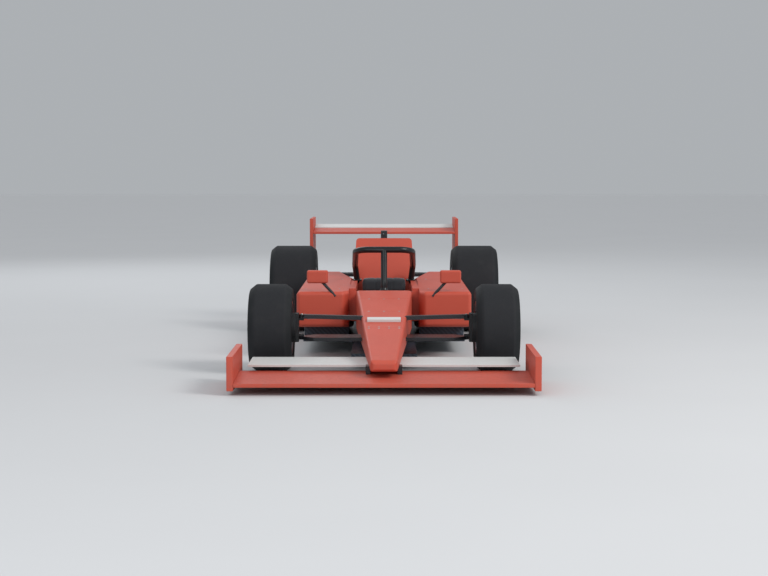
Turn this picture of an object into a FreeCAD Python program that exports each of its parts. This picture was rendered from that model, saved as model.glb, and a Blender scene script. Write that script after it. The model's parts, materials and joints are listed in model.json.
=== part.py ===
"""Open wheel racing car, full size, in millimetres.

The nose points along -Y, +X is the car's left side and +Z is up.  The origin
is on the ground under the middle of the car's overall length.  Every driving
size is a named cell of the first sheet below, the second sheet holds the
places that follow from them, and each piece takes its size and place from
those cells.
"""
import FreeCAD, Part
import math
import os
import re

import Sketcher

Vector = FreeCAD.Vector
doc = FreeCAD.newDocument("OpenWheelRacingCar")

# --------------------------------------------------------------- the sheets
# columns: name of the cell, its value in mm, what it is
SIZES = (
    ("front_axle_y", -1270, "front axle from the origin"),
    ("wheelbase", 2900, "front axle to rear axle"),
    ("wheel_x", 800, "middle of each wheel from the centre line"),
    ("front_tyre_r", 310, "front tyre, outer radius"),
    ("front_tyre_w", 300, "front tyre, width"),
    ("rear_tyre_r", 378, "rear tyre, outer radius"),
    ("rear_tyre_w", 396, "rear tyre, width"),
    ("shoulder", 35, "bevel of a tyre's shoulder across the tread"),
    ("shoulder_drop", 28, "the same bevel down the sidewall"),
    ("bead_step", 12, "tyre side set back above the rim"),
    ("flat_share", 0.78, "radius where a tyre's side turns in, share of its outer radius"),
    ("rim_r", 178, "rim barrel, outer radius"),
    ("rim_wall", 9, "rim barrel thickness"),
    ("rim_inset", 10, "rim edge inside the tyre's side"),
    ("disc_inset", 52, "wheel disc inside the tyre's outer side"),
    ("disc_thick", 18, "wheel disc thickness"),
    ("window_in", 62, "wheel window, inner radius"),
    ("window_out", 152, "wheel window, outer radius"),
    ("window_half", 11, "half width of a window at its inner end"),
    ("window_wide", 42, "half width of a window at its outer end"),
    ("spokes", 10, "number of windows in a wheel disc"),
    ("hub_r", 44, "wheel hub boss radius"),
    ("hub_length", 70, "wheel hub boss length"),
    ("spindle_r", 20, "wheel spindle radius"),
    ("spindle_fit", 0.05, "running clearance of a hub on its spindle"),
    ("front_drum_r", 105, "front brake drum radius"),
    ("front_drum_out", 38, "inner face of the front drum outside the steering axis"),
    ("front_drum_w", 78, "front drum width"),
    ("rear_drum_r", 125, "rear brake drum radius"),
    ("rear_drum_in", 252, "inner face of the rear drum inside the middle of the wheel"),
    ("rear_drum_w", 104, "rear drum width"),
    ("kingpin_in", 212, "steering axis inside the middle of the wheel"),
    ("kingpin_r", 8, "steering pin radius"),
    ("pin_fit", 0.05, "running clearance of a steering pin"),
    ("eye_r", 17, "eye at the outer end of a wishbone"),
    ("arm_thick", 28, "thickness of a suspension arm"),
    ("arm_wide", 40, "width of a rear arm's leg"),
    ("eye_gap", 2, "gap between an eye and the upright's plate"),
    ("lug_half", 17, "half width of an upright's lug"),
    ("lug_thick", 14, "thickness of an upright's lug"),
    ("open_pivot", 6, "gap at the open pivot of the steering linkage"),
    ("rear_arm_deep", 150, "rear arm, front to rear"),
    ("upright_thick", 19, "thickness of an upright's plate"),
    ("upright_half", 50, "half depth of an upright's plate"),
    ("lug_gap", 1, "gap between an eye and the lug beside it"),
    ("plate_low_over", 14, "front upright's plate below the lower arm"),
    ("plate_top_over", 8, "front upright's plate above the upper arm's eye"),
    ("pin_end", 4, "length of a steering pin inside its lug"),
    ("steer_arm_wide", 18, "width of an upright's steering arm"),
    ("steer_arm_thick", 16, "thickness of an upright's steering arm"),
    ("root", 4, "depth to which a part of an upright runs into the next"),
    ("rear_upright_half", 62, "half depth of a rear upright's plate"),
    ("rear_upright_over", 30, "rear upright's plate past the arms, up and down"),
    ("rear_arm_half", 40, "half depth of a rear arm at the upright"),
    ("rear_arm_web", 70, "length of a rear arm's solid outer end"),
    ("upper_arm_z", 391, "front upper arm, height at its eye"),
    ("upper_foot_z", 375, "front upper arm, height at the tub"),
    ("upper_arm_deep", 60, "front upper arm, front to rear"),
    ("lower_arm_z", 237, "front lower arm, height"),
    ("lower_arm_deep", 236, "front lower arm, front to rear"),
    ("lower_arm_thick", 24, "front lower arm, thickness"),
    ("lower_arm_neck", 90, "length over which the lower arm narrows"),
    ("rack_behind", 118, "steering rack behind the front axle"),
    ("rack_z", 370, "height of the steering rack"),
    ("rack_r", 10, "radius of the rack and the track rods"),
    ("rod_end_r", 13, "joint at the outer end of a track rod"),
    ("slide_gap", 0.3, "gap round a sliding or turning bar"),
    ("rod_end_in", 43, "outer end of a track rod inside the steering axis"),
    ("nose_fore", 1125, "front face of the nose ahead of the front axle"),
    ("nose_tip_half", 87, "half width of the nose tip"),
    ("nose_tip_low", 129, "underside of the nose tip"),
    ("nose_tip_top", 203, "top of the nose tip"),
    ("nose_joint_fore", 330, "joint of nose cone and monocoque ahead of the front axle"),
    ("scuttle_y", -564, "rear edge of the scuttle"),
    ("scuttle_half", 210, "half width at the scuttle"),
    ("scuttle_low", 214, "underside at the scuttle"),
    ("scuttle_top", 521, "top of the scuttle"),
    ("tub_round", 26, "corner radius at the scuttle"),
    ("tip_round", 14, "corner radius at the nose tip"),
    ("tub_wall", 42, "thickness of the monocoque's wall"),
    ("tub_floor", 26, "thickness of the tub's floor under the knees"),
    ("knee_round", 8, "corner radius inside the tub over the knees"),
    ("pedal_wall_fore", 210, "front end of the leg tunnel ahead of the front axle"),
    ("neck_long", 150, "length of the neck behind the scuttle"),
    ("tub_rear_y", 530, "rear bulkhead of the tub"),
    ("tub_half", 268, "half width of the tub beside the cockpit"),
    ("tub_step", 5, "cockpit sides above the scuttle"),
    ("tub_low", 200, "underside of the tub behind the seat"),
    ("tub_front_low", 278, "underside of the tub's wide front face"),
    ("tub_keel_y", 360, "where the tub's underside runs level"),
    ("cockpit_wall", 51, "thickness of the tub beside the cockpit"),
    ("bulkhead", 60, "thickness of the rear bulkhead"),
    ("dash_back", 84, "cockpit opening behind the tub's wide front face"),
    ("dash_drop", 22, "dash top below the scuttle edge"),
    ("floor_low", 92, "underside of the floor"),
    ("floor_thick", 32, "thickness of the floor"),
    ("floor_in", 28, "floor's edge inside the sidepod's side at its front"),
    ("floor_fore_back", 450, "wide floor's edge behind the sidepod's front"),
    ("floor_tail_fore", 130, "floor's rear edge ahead of the rear axle"),
    ("step_long", 90, "length of the slanted step from tray to wide floor"),
    ("step_wide", 70, "width of that step"),
    ("tray_half", 236, "half width of the floor's front tray"),
    ("tray_fore", 20, "front edge of the tray ahead of the front axle"),
    ("plank_half", 150, "half width of the plank under the floor"),
    ("plank_thick", 24, "thickness of the plank"),
    ("plank_inset", 90, "plank set back from the tray's front edge"),
    ("plank_tail", 100, "plank set forward of the floor's rear edge"),
    ("keel_inset", 150, "keel set back from the tray's front edge"),
    ("keel_half", 120, "half width of the keel under the tub"),
    ("pod_front_y", -620, "front face of a sidepod"),
    ("pod_tail_gap", 112, "sidepod's rear face ahead of the rear tyre"),
    ("pod_wide", 392, "width of a sidepod outside the tub at its front"),
    ("pod_taper", 28, "sidepod's side drawn in to the rear"),
    ("pod_inner_out", 38, "sidepod's front face outside the tub"),
    ("pod_cheek", 70, "length of the sidepod's inner front chamfer"),
    ("pod_tail_wide", 266, "width of a sidepod's rear face"),
    ("pod_waist_in", 20, "sidepod's inner side behind the tub, inside the tub's side"),
    ("pod_drop", 10, "sidepod's front top below the cockpit sides"),
    ("pod_rise", 43, "rise of a sidepod's top to its rear"),
    ("pod_low_front", 250, "underside of a sidepod at its front"),
    ("pod_seat_y", 660, "where a sidepod's underside meets the floor"),
    ("pod_round", 30, "rounding of a sidepod's edges"),
    ("cover_half", 246, "engine cover half width at its front"),
    ("cover_high", 354, "height of the engine cover above the cockpit sides"),
    ("cover_sink", 26, "engine cover's foot below the cockpit sides"),
    ("cover_tail_up", 34, "underside of the cover's tail above its front foot"),
    ("cover_round", 26, "upper corner radius of the engine cover"),
    ("cover_brow_back", 100, "top of the cover's leaning front behind its foot"),
    ("cover_cheek_back", 22, "middle of that front behind its foot"),
    ("cover_cheek_up", 150, "middle of that front above its foot"),
    ("cover_chin_up", 50, "upright lower part of that front"),
    ("cover_tail_back", 110, "rear end of the cover behind the rear axle"),
    ("cover_mid_back", 430, "middle station behind the cover's front"),
    ("cover_mid_half", 166, "half width at that station"),
    ("cover_mid_drop", 60, "fall of the cover's top to its middle station"),
    ("cover_tail_half", 60, "half width of the cover's tail"),
    ("cover_tail_high", 110, "height of the cover's tail"),
    ("cover_tail_round", 30, "corner radius of the cover's tail"),
    ("case_round", 16, "corner radius of the gearbox"),
    ("camera_wide", 53, "camera pod width"),
    ("camera_high", 46, "camera pod height above the cover"),
    ("camera_long", 120, "camera pod length"),
    ("camera_back", 112, "camera pod behind the cover's front face"),
    ("camera_sink", 20, "camera pod's foot below the cover's top"),
    ("engine_half", 190, "engine block half width"),
    ("engine_long", 470, "engine block length"),
    ("gearbox_half", 140, "gearbox half width at the engine"),
    ("gearbox_tail_half", 92, "gearbox half width at its rear"),
    ("gearbox_low", 150, "underside of the gearbox at the engine"),
    ("gearbox_tail_low", 205, "underside of the gearbox at its rear"),
    ("gearbox_back", 270, "rear face of the gearbox behind the rear axle"),
    ("crash_half", 62, "half width of the rear crash structure"),
    ("crash_long", 520, "length of the crash structure"),
    ("crash_z", 322, "middle of the crash structure's height"),
    ("crash_high", 160, "height of the crash structure at its front"),
    ("crash_tail_half", 43, "half width of the crash structure's rear end"),
    ("crash_tail_high", 100, "height of the crash structure's rear end"),
    ("crash_round", 12, "corner radius of the crash structure"),
    ("halo_r", 24, "halo tube radius"),
    ("halo_back", 30, "halo's front behind the front end of the opening"),
    ("halo_up", 291, "halo tube's front above the cockpit side"),
    ("halo_in", 50, "halo hoop inside the tub's side"),
    ("halo_bend", 110, "bend radius of the halo hoop"),
    ("halo_foot_fore", 38, "halo's rear feet ahead of the rear bulkhead's rear face"),
    ("pillar_fore", 42, "halo's pillar ahead of the cockpit opening"),
    ("pillar_r", 24, "halo centre pillar radius"),
    ("halo_foot_in", 50, "halo's rear feet inside the tub's side"),
    ("halo_knee_fore", 70, "knee of the hoop ahead of its rear foot"),
    ("halo_knee_in", 32, "knee of the hoop inside the tub's side"),
    ("halo_knee_up", 130, "knee of the hoop above the cockpit side"),
    ("halo_knee_bend", 90, "bend radius at that knee"),
    ("halo_sink", 20, "depth of the halo's feet in the tub"),
    ("pillar_rise", 60, "straight lower part of the centre pillar"),
    ("pillar_bend", 120, "bend radius of the centre pillar"),
    ("mirror_in", 158, "middle of a mirror inside the sidepod's side"),
    ("mirror_back", 40, "middle of a mirror behind the sidepod's front"),
    ("mirror_up", 111, "middle of a mirror above the sidepod's front"),
    ("mirror_wide", 158, "mirror housing width"),
    ("mirror_high", 96, "mirror housing height"),
    ("mirror_deep", 70, "mirror housing depth"),
    ("mirror_round", 14, "rounding of a mirror housing"),
    ("pane_thick", 4, "thickness of a mirror's glass"),
    ("stalk_r", 11, "mirror stalk radius"),
    ("stalk_foot_out", 58, "mirror stalk's foot outside the pod's inner end"),
    ("stalk_foot_back", 6, "stalk foot behind the sidepod's front face"),
    ("stalk_foot_drop", 36, "stalk foot below the sidepod's top"),
    ("stalk_head_in", 30, "stalk head inside the middle of the housing"),
    ("pane_set", 1, "glass set in from the housing's rear face"),
    ("wing_half", 1000, "half span of the front wing"),
    ("wing_fore", 170, "front wing's edge ahead of the nose tip"),
    ("wing_chord", 480, "chord of the front wing's main plane"),
    ("wing_low", 53, "underside of the main plane at its front"),
    ("wing_thick", 26, "thickness of the main plane"),
    ("wing_rise", 25, "rise of the main plane from front to rear"),
    ("plate_thick", 42, "front endplate thickness"),
    ("plate_low", 30, "underside of a front endplate"),
    ("plate_top", 252, "top of a front endplate"),
    ("plate_rise", 6, "rise of a front endplate's top edge to the rear"),
    ("plate_long", 700, "length of a front endplate"),
    ("flap_in", 98, "inner end of a front flap"),
    ("flap_end", 100, "outer end of a front flap inside the wing's tip"),
    ("flap_back", 435, "front flap behind the main plane's front edge"),
    ("flap_chord", 405, "chord of a front flap"),
    ("flap_up", 80, "front flap above the main plane"),
    ("flap_thick", 13, "thickness of a front flap"),
    ("flap_rise", 6, "rise of a front flap from front to rear"),
    ("pylon_x", 120, "outer side of a nose pylon"),
    ("pylon_thick", 30, "nose pylon thickness"),
    ("pylon_top", 150, "top of a nose pylon"),
    ("pylon_long", 105, "nose pylon, front to rear"),
    ("pylon_back", 155, "nose pylon behind the nose tip"),
    ("plate_half", 118, "half width of the blank panel on the nose"),
    ("panel_fore", 156, "blank panel ahead of the front axle"),
    ("panel_high", 66, "height of the blank panel"),
    ("panel_thick", 20, "thickness of the blank panel"),
    ("rwing_half", 677, "half span of the rear wing"),
    ("rwing_back", 340, "rear wing behind the rear axle"),
    ("rwing_long", 595, "length of the rear wing endplates"),
    ("rwing_top", 988, "top of the rear wing endplates"),
    ("rwing_deep", 428, "height of the rear wing endplates"),
    ("rplate_thick", 30, "rear endplate thickness"),
    ("rmain_chord", 350, "chord of the rear main plane"),
    ("rmain_drop", 131, "rear main plane below the endplates' top"),
    ("rmain_thick", 20, "thickness of the rear main plane"),
    ("rmain_rise", 24, "rise of the rear main plane"),
    ("rflap_chord", 190, "chord of the rear flap"),
    ("rflap_slot", 20, "slot between rear main plane and flap"),
    ("rflap_rise", 22, "rise of the rear flap"),
    ("rflap_thick", 18, "thickness of the rear flap"),
    ("swan_thick", 36, "thickness of the rear wing pylon"),
    ("swan_foot_back", 60, "pylon foot behind the gearbox"),
    ("swan_foot_long", 270, "length of the pylon's foot"),
    ("swan_head_back", 60, "pylon head behind the wing's front edge"),
    ("swan_head_long", 180, "length of the pylon's head"),
    ("rear_arm_z", 500, "rear upper wishbone height"),
    ("rear_low_arm_z", 270, "rear lower wishbone height"),
    ("shaft_r", 19, "driveshaft radius"),
    ("diffuser_rise", 110, "rise of the diffuser's tail"),
    ("diffuser_back", 490, "rear edge of the diffuser behind the rear axle"),
    ("fence_thick", 10, "thickness of a diffuser fence"),
    ("fence_share", 0.34, "inner fence's place, share of the way out"),
    ("diffuser_half", 480, "half width of the diffuser"),
    ("seat_front_y", -60, "front edge of the seat"),
    ("seat_side", 39, "room beside the seat"),
    ("seat_up", 27, "headrest above the cockpit sides"),
    ("seat_thick", 110, "thickness of the headrest"),
    ("seat_gap", 0.3, "gap round the seat"),
    ("seat_lift", 22, "front of the seat above the tub's floor"),
    ("seat_front_high", 114, "seat's front edge above the tub's front underside"),
    ("seat_dip_back", 190, "lowest point of the seat behind its front edge"),
    ("seat_dip_high", 142, "seat's lowest point above the tub's underside"),
    ("seat_lean", 40, "lean of the seat's back"),
    ("seat_back_high", 200, "foot of the seat's back above the tub's underside"),
    ("wheel_half_w", 126, "steering wheel half width"),
    ("wheel_half_h", 60, "steering wheel half height"),
    ("wheel_round", 34, "steering wheel corner radius"),
    ("grip_wide", 26, "width of a steering wheel grip"),
    ("wheel_y", -215, "steering wheel's middle"),
    ("wheel_drop", 87, "steering wheel's middle below the scuttle's top"),
    ("wheel_deep", 34, "steering wheel's thickness"),
    ("grip_round", 10, "corner radius of a steering wheel's hand hole"),
    ("column_r", 14, "steering column radius"),
    ("column_short", 40, "column's lower end behind the rack"),
    ("column_drop", 10, "column's lower end below the rack"),
    ("web_fore", 66, "column's web ahead of the tub's wide front face"),
    ("web_thick", 24, "thickness of that web"),
    ("web_half", 45, "half width of that web"),
    ("web_sink", 5, "top of the web below the dash's top"),
    ("light_wide", 96, "rear light width"),
    ("light_high", 60, "rear light height"),
    ("light_deep", 26, "rear light depth"),
    ("light_drop", 10, "foot of the rear light below the structure's middle"),
    ("eye_plate", 10, "tow eye plate thickness"),
    ("eye_hole", 25, "tow eye hole radius"),
    ("tow_back", 34, "middle of the tow eye behind the crash structure"),
    ("tow_drop", 62, "middle of the tow eye below the structure's middle"),
    ("tow_half", 40, "half size of the tow eye's plate"),
    ("tow_root", 60, "length of the plate's root under the structure"),
    ("tow_root_drop", 48, "top of that root below the structure's middle"),
)

# columns: name of the cell, its formula in other cells, what it is
PLACES = (
    ("rear_axle_y", "front_axle_y + wheelbase", "rear axle from the origin"),
    ("kingpin_x", "wheel_x - kingpin_in", "steering axis from the centre line"),
    ("front_drum_x", "kingpin_x + front_drum_out", "inner face of the front drum"),
    ("rear_drum_x", "wheel_x - rear_drum_in", "inner face of the rear drum"),
    ("rod_end_x", "kingpin_x - rod_end_in", "outer end of a track rod"),
    ("nose_tip_y", "front_axle_y - nose_fore", "front face of the nose"),
    ("nose_joint_y", "front_axle_y - nose_joint_fore", "joint between nose cone and monocoque"),
    ("panel_y", "front_axle_y - panel_fore", "middle of the blank panel on the nose"),
    ("pedal_wall_y", "front_axle_y - pedal_wall_fore", "front end of the leg tunnel"),
    ("tray_front_y", "front_axle_y - tray_fore", "front edge of the tray"),
    ("wing_front_y", "nose_tip_y - wing_fore", "front edge of the front wing"),
    ("flap_front_y", "wing_front_y + flap_back", "front edge of a front flap"),
    ("flap_low", "wing_low + flap_up", "underside of a front flap at its front"),
    ("flap_out", "wing_half - flap_end", "outer end of a front flap"),
    ("cockpit_half", "tub_half - cockpit_wall", "half width of the cockpit opening"),
    ("seat_half", "cockpit_half - seat_side", "half width of the seat"),
    ("halo_half", "tub_half - halo_in", "half width of the halo hoop"),
    ("halo_foot_half", "tub_half - halo_foot_in", "half width between the halo's rear feet"),
    ("halo_knee_half", "tub_half - halo_knee_in", "half width between the hoop's knees"),
    ("pod_inner", "tub_half + pod_inner_out", "inner end of a sidepod's front face"),
    ("pod_waist", "tub_half - pod_waist_in", "inner side of a sidepod behind the tub"),
    ("pod_half", "tub_half + pod_wide", "sidepod outer side at its front"),
    ("pod_tail_half", "pod_half - pod_taper", "sidepod outer side at its rear"),
    ("floor_half", "pod_half - floor_in", "half width of the floor"),
    ("pod_tail_inner", "pod_tail_half - pod_tail_wide", "inner end of a sidepod's rear face"),
    ("stalk_foot_x", "pod_inner + stalk_foot_out", "foot of a mirror stalk"),
    ("mirror_x", "pod_half - mirror_in", "middle of a mirror housing"),
    ("mirror_y", "pod_front_y + mirror_back", "middle of a mirror housing"),
    ("tub_top", "scuttle_top + tub_step", "top of the cockpit sides"),
    ("halo_top", "tub_top + halo_up", "height of the halo tube at its front"),
    ("pod_top_front", "tub_top - pod_drop", "top of a sidepod at its front"),
    ("mirror_z", "pod_top_front + mirror_up", "middle of a mirror housing"),
    ("pod_top_rear", "pod_top_front + pod_rise", "top of a sidepod at its rear"),
    ("pod_rear_y", "rear_axle_y - rear_tyre_r - pod_tail_gap", "rear face of a sidepod"),
    ("floor_rear_y", "pod_rear_y", "rear edge of the wide floor"),
    ("floor_tail_y", "rear_axle_y - floor_tail_fore", "rear edge of the floor between the rear wheels"),
    ("diffuser_rear_y", "rear_axle_y + diffuser_back", "rear edge of the diffuser"),
    ("cover_low", "tub_top - cover_sink", "underside of the engine cover at its front"),
    ("cover_tail_low", "cover_low + cover_tail_up", "underside of the engine cover's tail"),
    ("cover_top", "tub_top + cover_high", "top of the engine cover"),
    ("cover_mid_top", "cover_top - cover_mid_drop", "top at that station"),
    ("cover_mid_y", "tub_rear_y + cover_mid_back", "middle station of the engine cover"),
    ("cover_tail_y", "rear_axle_y + cover_tail_back", "rear end of the engine cover"),
    ("gearbox_top", "tub_top", "top of the gearbox"),
    ("gearbox_rear_y", "rear_axle_y + gearbox_back", "rear face of the gearbox"),
    ("crash_rear_y", "gearbox_rear_y + crash_long", "rear end of the crash structure"),
    ("rwing_front_y", "rear_axle_y + rwing_back", "front edge of the rear wing endplates"),
    ("rwing_low", "rwing_top - rwing_deep", "underside of the rear wing endplates"),
    ("rmain_z", "rwing_top - rmain_drop", "middle of the rear main plane at its front"),
    ("cockpit_rear_y", "tub_rear_y - bulkhead", "rear end of the cockpit opening"),
    ("halo_foot_y", "tub_rear_y - halo_foot_fore", "halo rear feet"),
    ("wheel_z", "scuttle_top - wheel_drop", "steering wheel's middle height"),
    ("column_foot_z", "rack_z - column_drop", "height of the column's lower end"),
    ("tub_front_y", "scuttle_y + neck_long", "front face of the wide part of the tub"),
    ("dash_y", "tub_front_y + dash_back", "front end of the cockpit opening"),
    ("web_y", "tub_front_y - web_fore", "front face of the web that carries the column"),
    ("seat_top", "tub_top + seat_up", "top of the headrest"),
    ("seat_front_top", "tub_front_low + seat_front_high", "top of the seat's front edge"),
    ("seat_dip_z", "tub_low + seat_dip_high", "height of that lowest point"),
    ("seat_back_z", "tub_low + seat_back_high", "foot of the seat's back"),
    ("pillar_foot_y", "dash_y - pillar_fore", "foot of the halo's centre pillar"),
    ("halo_front_y", "dash_y + halo_back", "front of the halo hoop"),
    ("floor_front_y", "pod_front_y + floor_fore_back", "front edge of the wide floor"),
)

# the sheet in which each named cell stands
SHEETS = {}


def cell(text, home=None):
    """A formula in plain names, as an expression of the sheets' cells."""
    names = [name for name, page in SHEETS.items() if page is not home]
    words = r"\b(" + "|".join(names) + r")\b"
    return re.sub(words, lambda found: SHEETS[found[0]].Name + "." + found[0], str(text))


def sheet(title, rows, mark=""):
    """Write a table into a sheet of its own, each cell with its name."""
    page = doc.addObject("Spreadsheet::Sheet", title)
    for number, (alias, value, meaning) in enumerate(rows, start=1):
        page.set("A%d" % number, meaning)
        page.set("B%d" % number, mark + (cell(value, page) if mark else str(value)))
        page.setAlias("B%d" % number, alias)
        SHEETS[alias] = page
    doc.recompute()


sheet("Sizes", SIZES)
sheet("Places", PLACES, "=")


class Cells:
    """The sheets' values, each by its name."""

    def __getattr__(self, alias):
        return float(SHEETS[alias].get(alias))


C = Cells()


def bind(thing, formulas):
    """Tie an object's properties to formulas of the sheet."""
    for name, formula in formulas.items():
        thing.setExpression(name, cell(formula))


def place(thing, at=("0", "0", "0")):
    """Tie an object's place to three formulas."""
    bind(thing, {"Placement.Base." + axis: text for axis, text in zip("xyz", at)})


PIECES = []


def keep(thing, label):
    """Name an object as a sub-part of the car."""
    thing.Label = label
    PIECES.append(thing)
    return thing


# ------------------------------------------------------------ common shapes
def box(name, low, high):
    """A block between two corners given as formulas."""
    block = doc.addObject("Part::Box", name)
    sizes = ["(%s) - (%s)" % (b, a) for a, b in zip(low, high)]
    bind(block, dict(zip(("Length", "Width", "Height"), sizes)))
    place(block, low)
    return block


AXES = {"x": FreeCAD.Rotation(Vector(0, 1, 0), 90),
        "y": FreeCAD.Rotation(Vector(1, 0, 0), -90),
        "z": FreeCAD.Rotation()}


def rod(name, axis, radius, start, length):
    """A cylinder from a point along +X, +Y or +Z."""
    cylinder = doc.addObject("Part::Cylinder", name)
    cylinder.Placement = FreeCAD.Placement(Vector(), AXES[axis])
    bind(cylinder, {"Radius": radius, "Height": length})
    place(cylinder, start)
    return cylinder


def join(name, things):
    """One solid of several that touch."""
    fused = doc.addObject("Part::MultiFuse", name)
    fused.Shapes = things
    fused.Refine = False
    return fused


def cut(name, thing, tool):
    """A solid with another taken out of it."""
    less = doc.addObject("Part::Cut", name)
    less.Base = thing
    less.Tool = tool
    return less


def origin_plane(body, role):
    """A body's own origin plane."""
    return [f for f in body.Origin.OriginFeatures if f.Role == role][0]


def outline(body, name, role, corners):
    """A closed sketch of straight lines whose corners are pairs of formulas."""
    sketch = body.newObject("Sketcher::SketchObject", name)
    sketch.AttachmentSupport = [(origin_plane(body, role), "")]
    sketch.MapMode = "FlatFace"
    # rough corners first, from the sheet's values, then each one is tied
    rough = [Vector(*[value_of(text) for text in corner], 0) for corner in corners]
    count = len(corners)
    for i in range(count):
        sketch.addGeometry(Part.LineSegment(rough[i], rough[(i + 1) % count]), False)
    for i in range(count):
        sketch.addConstraint(Sketcher.Constraint("Coincident", i, 2, (i + 1) % count, 1))
    for i, corner in enumerate(corners):
        for kind, text in zip(("DistanceX", "DistanceY"), corner):
            index = sketch.addConstraint(
                Sketcher.Constraint(kind, -1, 1, i, 1, value_of(text)))
            sketch.setExpression("Constraints[%d]" % index, cell(text))
    return sketch


READING = doc.addObject("App::FeaturePython", "Reading")
READING.addProperty("App::PropertyFloat", "Number")


def value_of(text):
    """The number a formula gives with the sheet's present values."""
    READING.setExpression("Number", cell(text))
    READING.recompute()
    return float(READING.Number)


def padded(name, role, corners, length, at=("0", "0", "0")):
    """A PartDesign body: one outline padded to both sides of its plane."""
    body = doc.addObject("PartDesign::Body", name)
    sketch = outline(body, name + "_outline", role, corners)
    pad = body.newObject("PartDesign::Pad", name + "_pad")
    pad.Profile = sketch
    pad.Midplane = True
    bind(pad, {"Length": length})
    place(body, at)
    return body


def turned(name, corners):
    """A PartDesign body: one half outline turned about the body's X axis."""
    body = doc.addObject("PartDesign::Body", name)
    sketch = outline(body, name + "_section", "XZ_Plane", corners)
    turn = body.newObject("PartDesign::Revolution", name + "_turn")
    turn.Profile = sketch
    turn.ReferenceAxis = (sketch, ["H_Axis"])
    turn.Angle = 360
    return body


def shaped(name, shape):
    """A feature that holds a shape worked out from the sheet's values."""
    feature = doc.addObject("Part::Feature", name)
    feature.Shape = shape
    return feature


def ring_wire(half, low, top, radius, y):
    """A rounded rectangle across the car at one station."""
    r = radius
    k = r * (1 - math.sqrt(0.5))
    corners = ((half, top, -1, -1), (half, low, -1, 1), (-half, low, 1, 1), (-half, top, 1, -1))
    edges = []
    ends = []
    for x, z, sx, sz in corners:
        along_x = Vector(x + sx * r, y, z)
        along_z = Vector(x, y, z + sz * r)
        middle = Vector(x + sx * k, y, z + sz * k)
        ends.append((along_x, middle, along_z))
    # the corners run right top, right low, left low, left top
    order = (ends[0], ends[1][::-1], ends[2], ends[3][::-1])
    for i, (first, middle, last) in enumerate(order):
        edges.append(Part.Arc(first, middle, last).toShape())
        following = order[(i + 1) % 4][0]
        edges.append(Part.makeLine(last, following))
    return Part.Wire(edges)


def skinned(stations):
    """A solid through rounded rectangles: rows of half, low, top, radius, y."""
    return Part.makeLoft([ring_wire(*row) for row in stations], True, True)


def block(low, high):
    """A plain block between two corners given as numbers."""
    size = [b - a for a, b in zip(low, high)]
    return Part.makeBox(*size, Vector(*low))


def drum(radius, start, direction, length):
    """A plain cylinder."""
    return Part.makeCylinder(radius, length, Vector(*start), Vector(*direction))


def bar(start, end, wide, thick):
    """A flat bar between two points, wide level and thick upright."""
    start, end = Vector(*start), Vector(*end)
    way = end - start
    length = way.Length
    across = Vector(0, 0, 1).cross(way).normalize()
    up = way.cross(across).normalize()
    corners = [start + across * (a * wide / 2) + up * (b * thick / 2)
               for a, b in ((-1, -1), (1, -1), (1, 1), (-1, 1))]
    face = Part.Face(Part.makePolygon(corners + corners[:1]))
    return face.extrude(way.normalize() * length)


def slab(points, low, high):
    """A plate of a plan outline between two heights."""
    face = Part.Face(Part.makePolygon([Vector(x, y, low) for x, y in points + points[:1]]))
    return face.extrude(Vector(0, 0, high - low))


def profile(points, start, end):
    """A side outline (y, z) drawn out between two x values."""
    face = Part.Face(Part.makePolygon([Vector(start, y, z) for y, z in points + points[:1]]))
    return face.extrude(Vector(end - start, 0, 0))


def flipped(shape):
    """The same shape on the other side of the car."""
    return shape.mirror(Vector(), Vector(1, 0, 0))


def both_sides(shape):
    """A shape and its mirror image, as separate solids of one sub-part."""
    return Part.makeCompound([shape, flipped(shape)])


def together(label, things):
    """Like pieces of one body as one sub-part."""
    group = doc.addObject("Part::Compound", label + "_group")
    group.Links = things
    return keep(group, label)


def softened(shape, radius, chosen):
    """Round the edges that the test picks."""
    edges = [e for e in shape.Edges if chosen(e)]
    return shape.makeFillet(radius, edges)


def along_nose(y):
    """Half width, underside and top of the nose at one station."""
    share = (y - C.nose_tip_y) / (C.scuttle_y - C.nose_tip_y)
    ends = ((C.nose_tip_half, C.scuttle_half), (C.nose_tip_low, C.scuttle_low),
            (C.nose_tip_top, C.scuttle_top), (C.tip_round, C.tub_round))
    return tuple(a + (b - a) * share for a, b in ends)


def nose_row(y, inset=0.0):
    """One station of the nose, as a row for skinned."""
    half, low, top, radius = along_nose(y)
    return (half - inset, low + inset, top - inset, max(radius - inset, 4.0), y)


SIDES = (("left", 1), ("right", -1))
TOUCH = 5.0       # an edge nearer than this to a plane counts as lying on it
floor_top = C.floor_low + C.floor_thick

# ------------------------------------------------------------ nose and tub
# columns: back from the tip, set in all round
TIP_STEPS = ((0, 24), (3, 15), (10, 7), (22, 2), (36, 0))
cone = skinned([nose_row(C.nose_tip_y + back, inset) for back, inset in TIP_STEPS]
               + [nose_row(C.nose_joint_y)])
cone_piece = keep(shaped("nose_cone_shape", cone), "nose_cone")

front_tub = skinned([nose_row(C.nose_joint_y), nose_row(C.scuttle_y)])
dash_top = C.scuttle_top - C.dash_drop
neck = skinned([(C.scuttle_half, low, dash_top, C.tub_round, y)
                for low, y in ((C.scuttle_low, C.scuttle_y), (C.tub_front_low, C.tub_front_y))])
tub_under = [(C.tub_front_y, C.tub_front_low), (C.tub_keel_y, C.tub_low),
             (C.tub_rear_y, C.tub_low)]
wide_tub = profile(tub_under + [(C.tub_rear_y, C.tub_top), (C.tub_front_y, C.tub_top)],
                   -C.tub_half, C.tub_half)
dash_notch = block((-C.cockpit_half, C.tub_front_y, dash_top),
                   (C.cockpit_half, C.cockpit_rear_y, 2 * C.tub_top))
wide_tub = wide_tub.cut(dash_notch)
tub_outside = front_tub.fuse([neck, wide_tub])
leg_tunnel = skinned([nose_row(C.pedal_wall_y, C.tub_wall),
                      nose_row(C.scuttle_y, C.tub_wall)])
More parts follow.
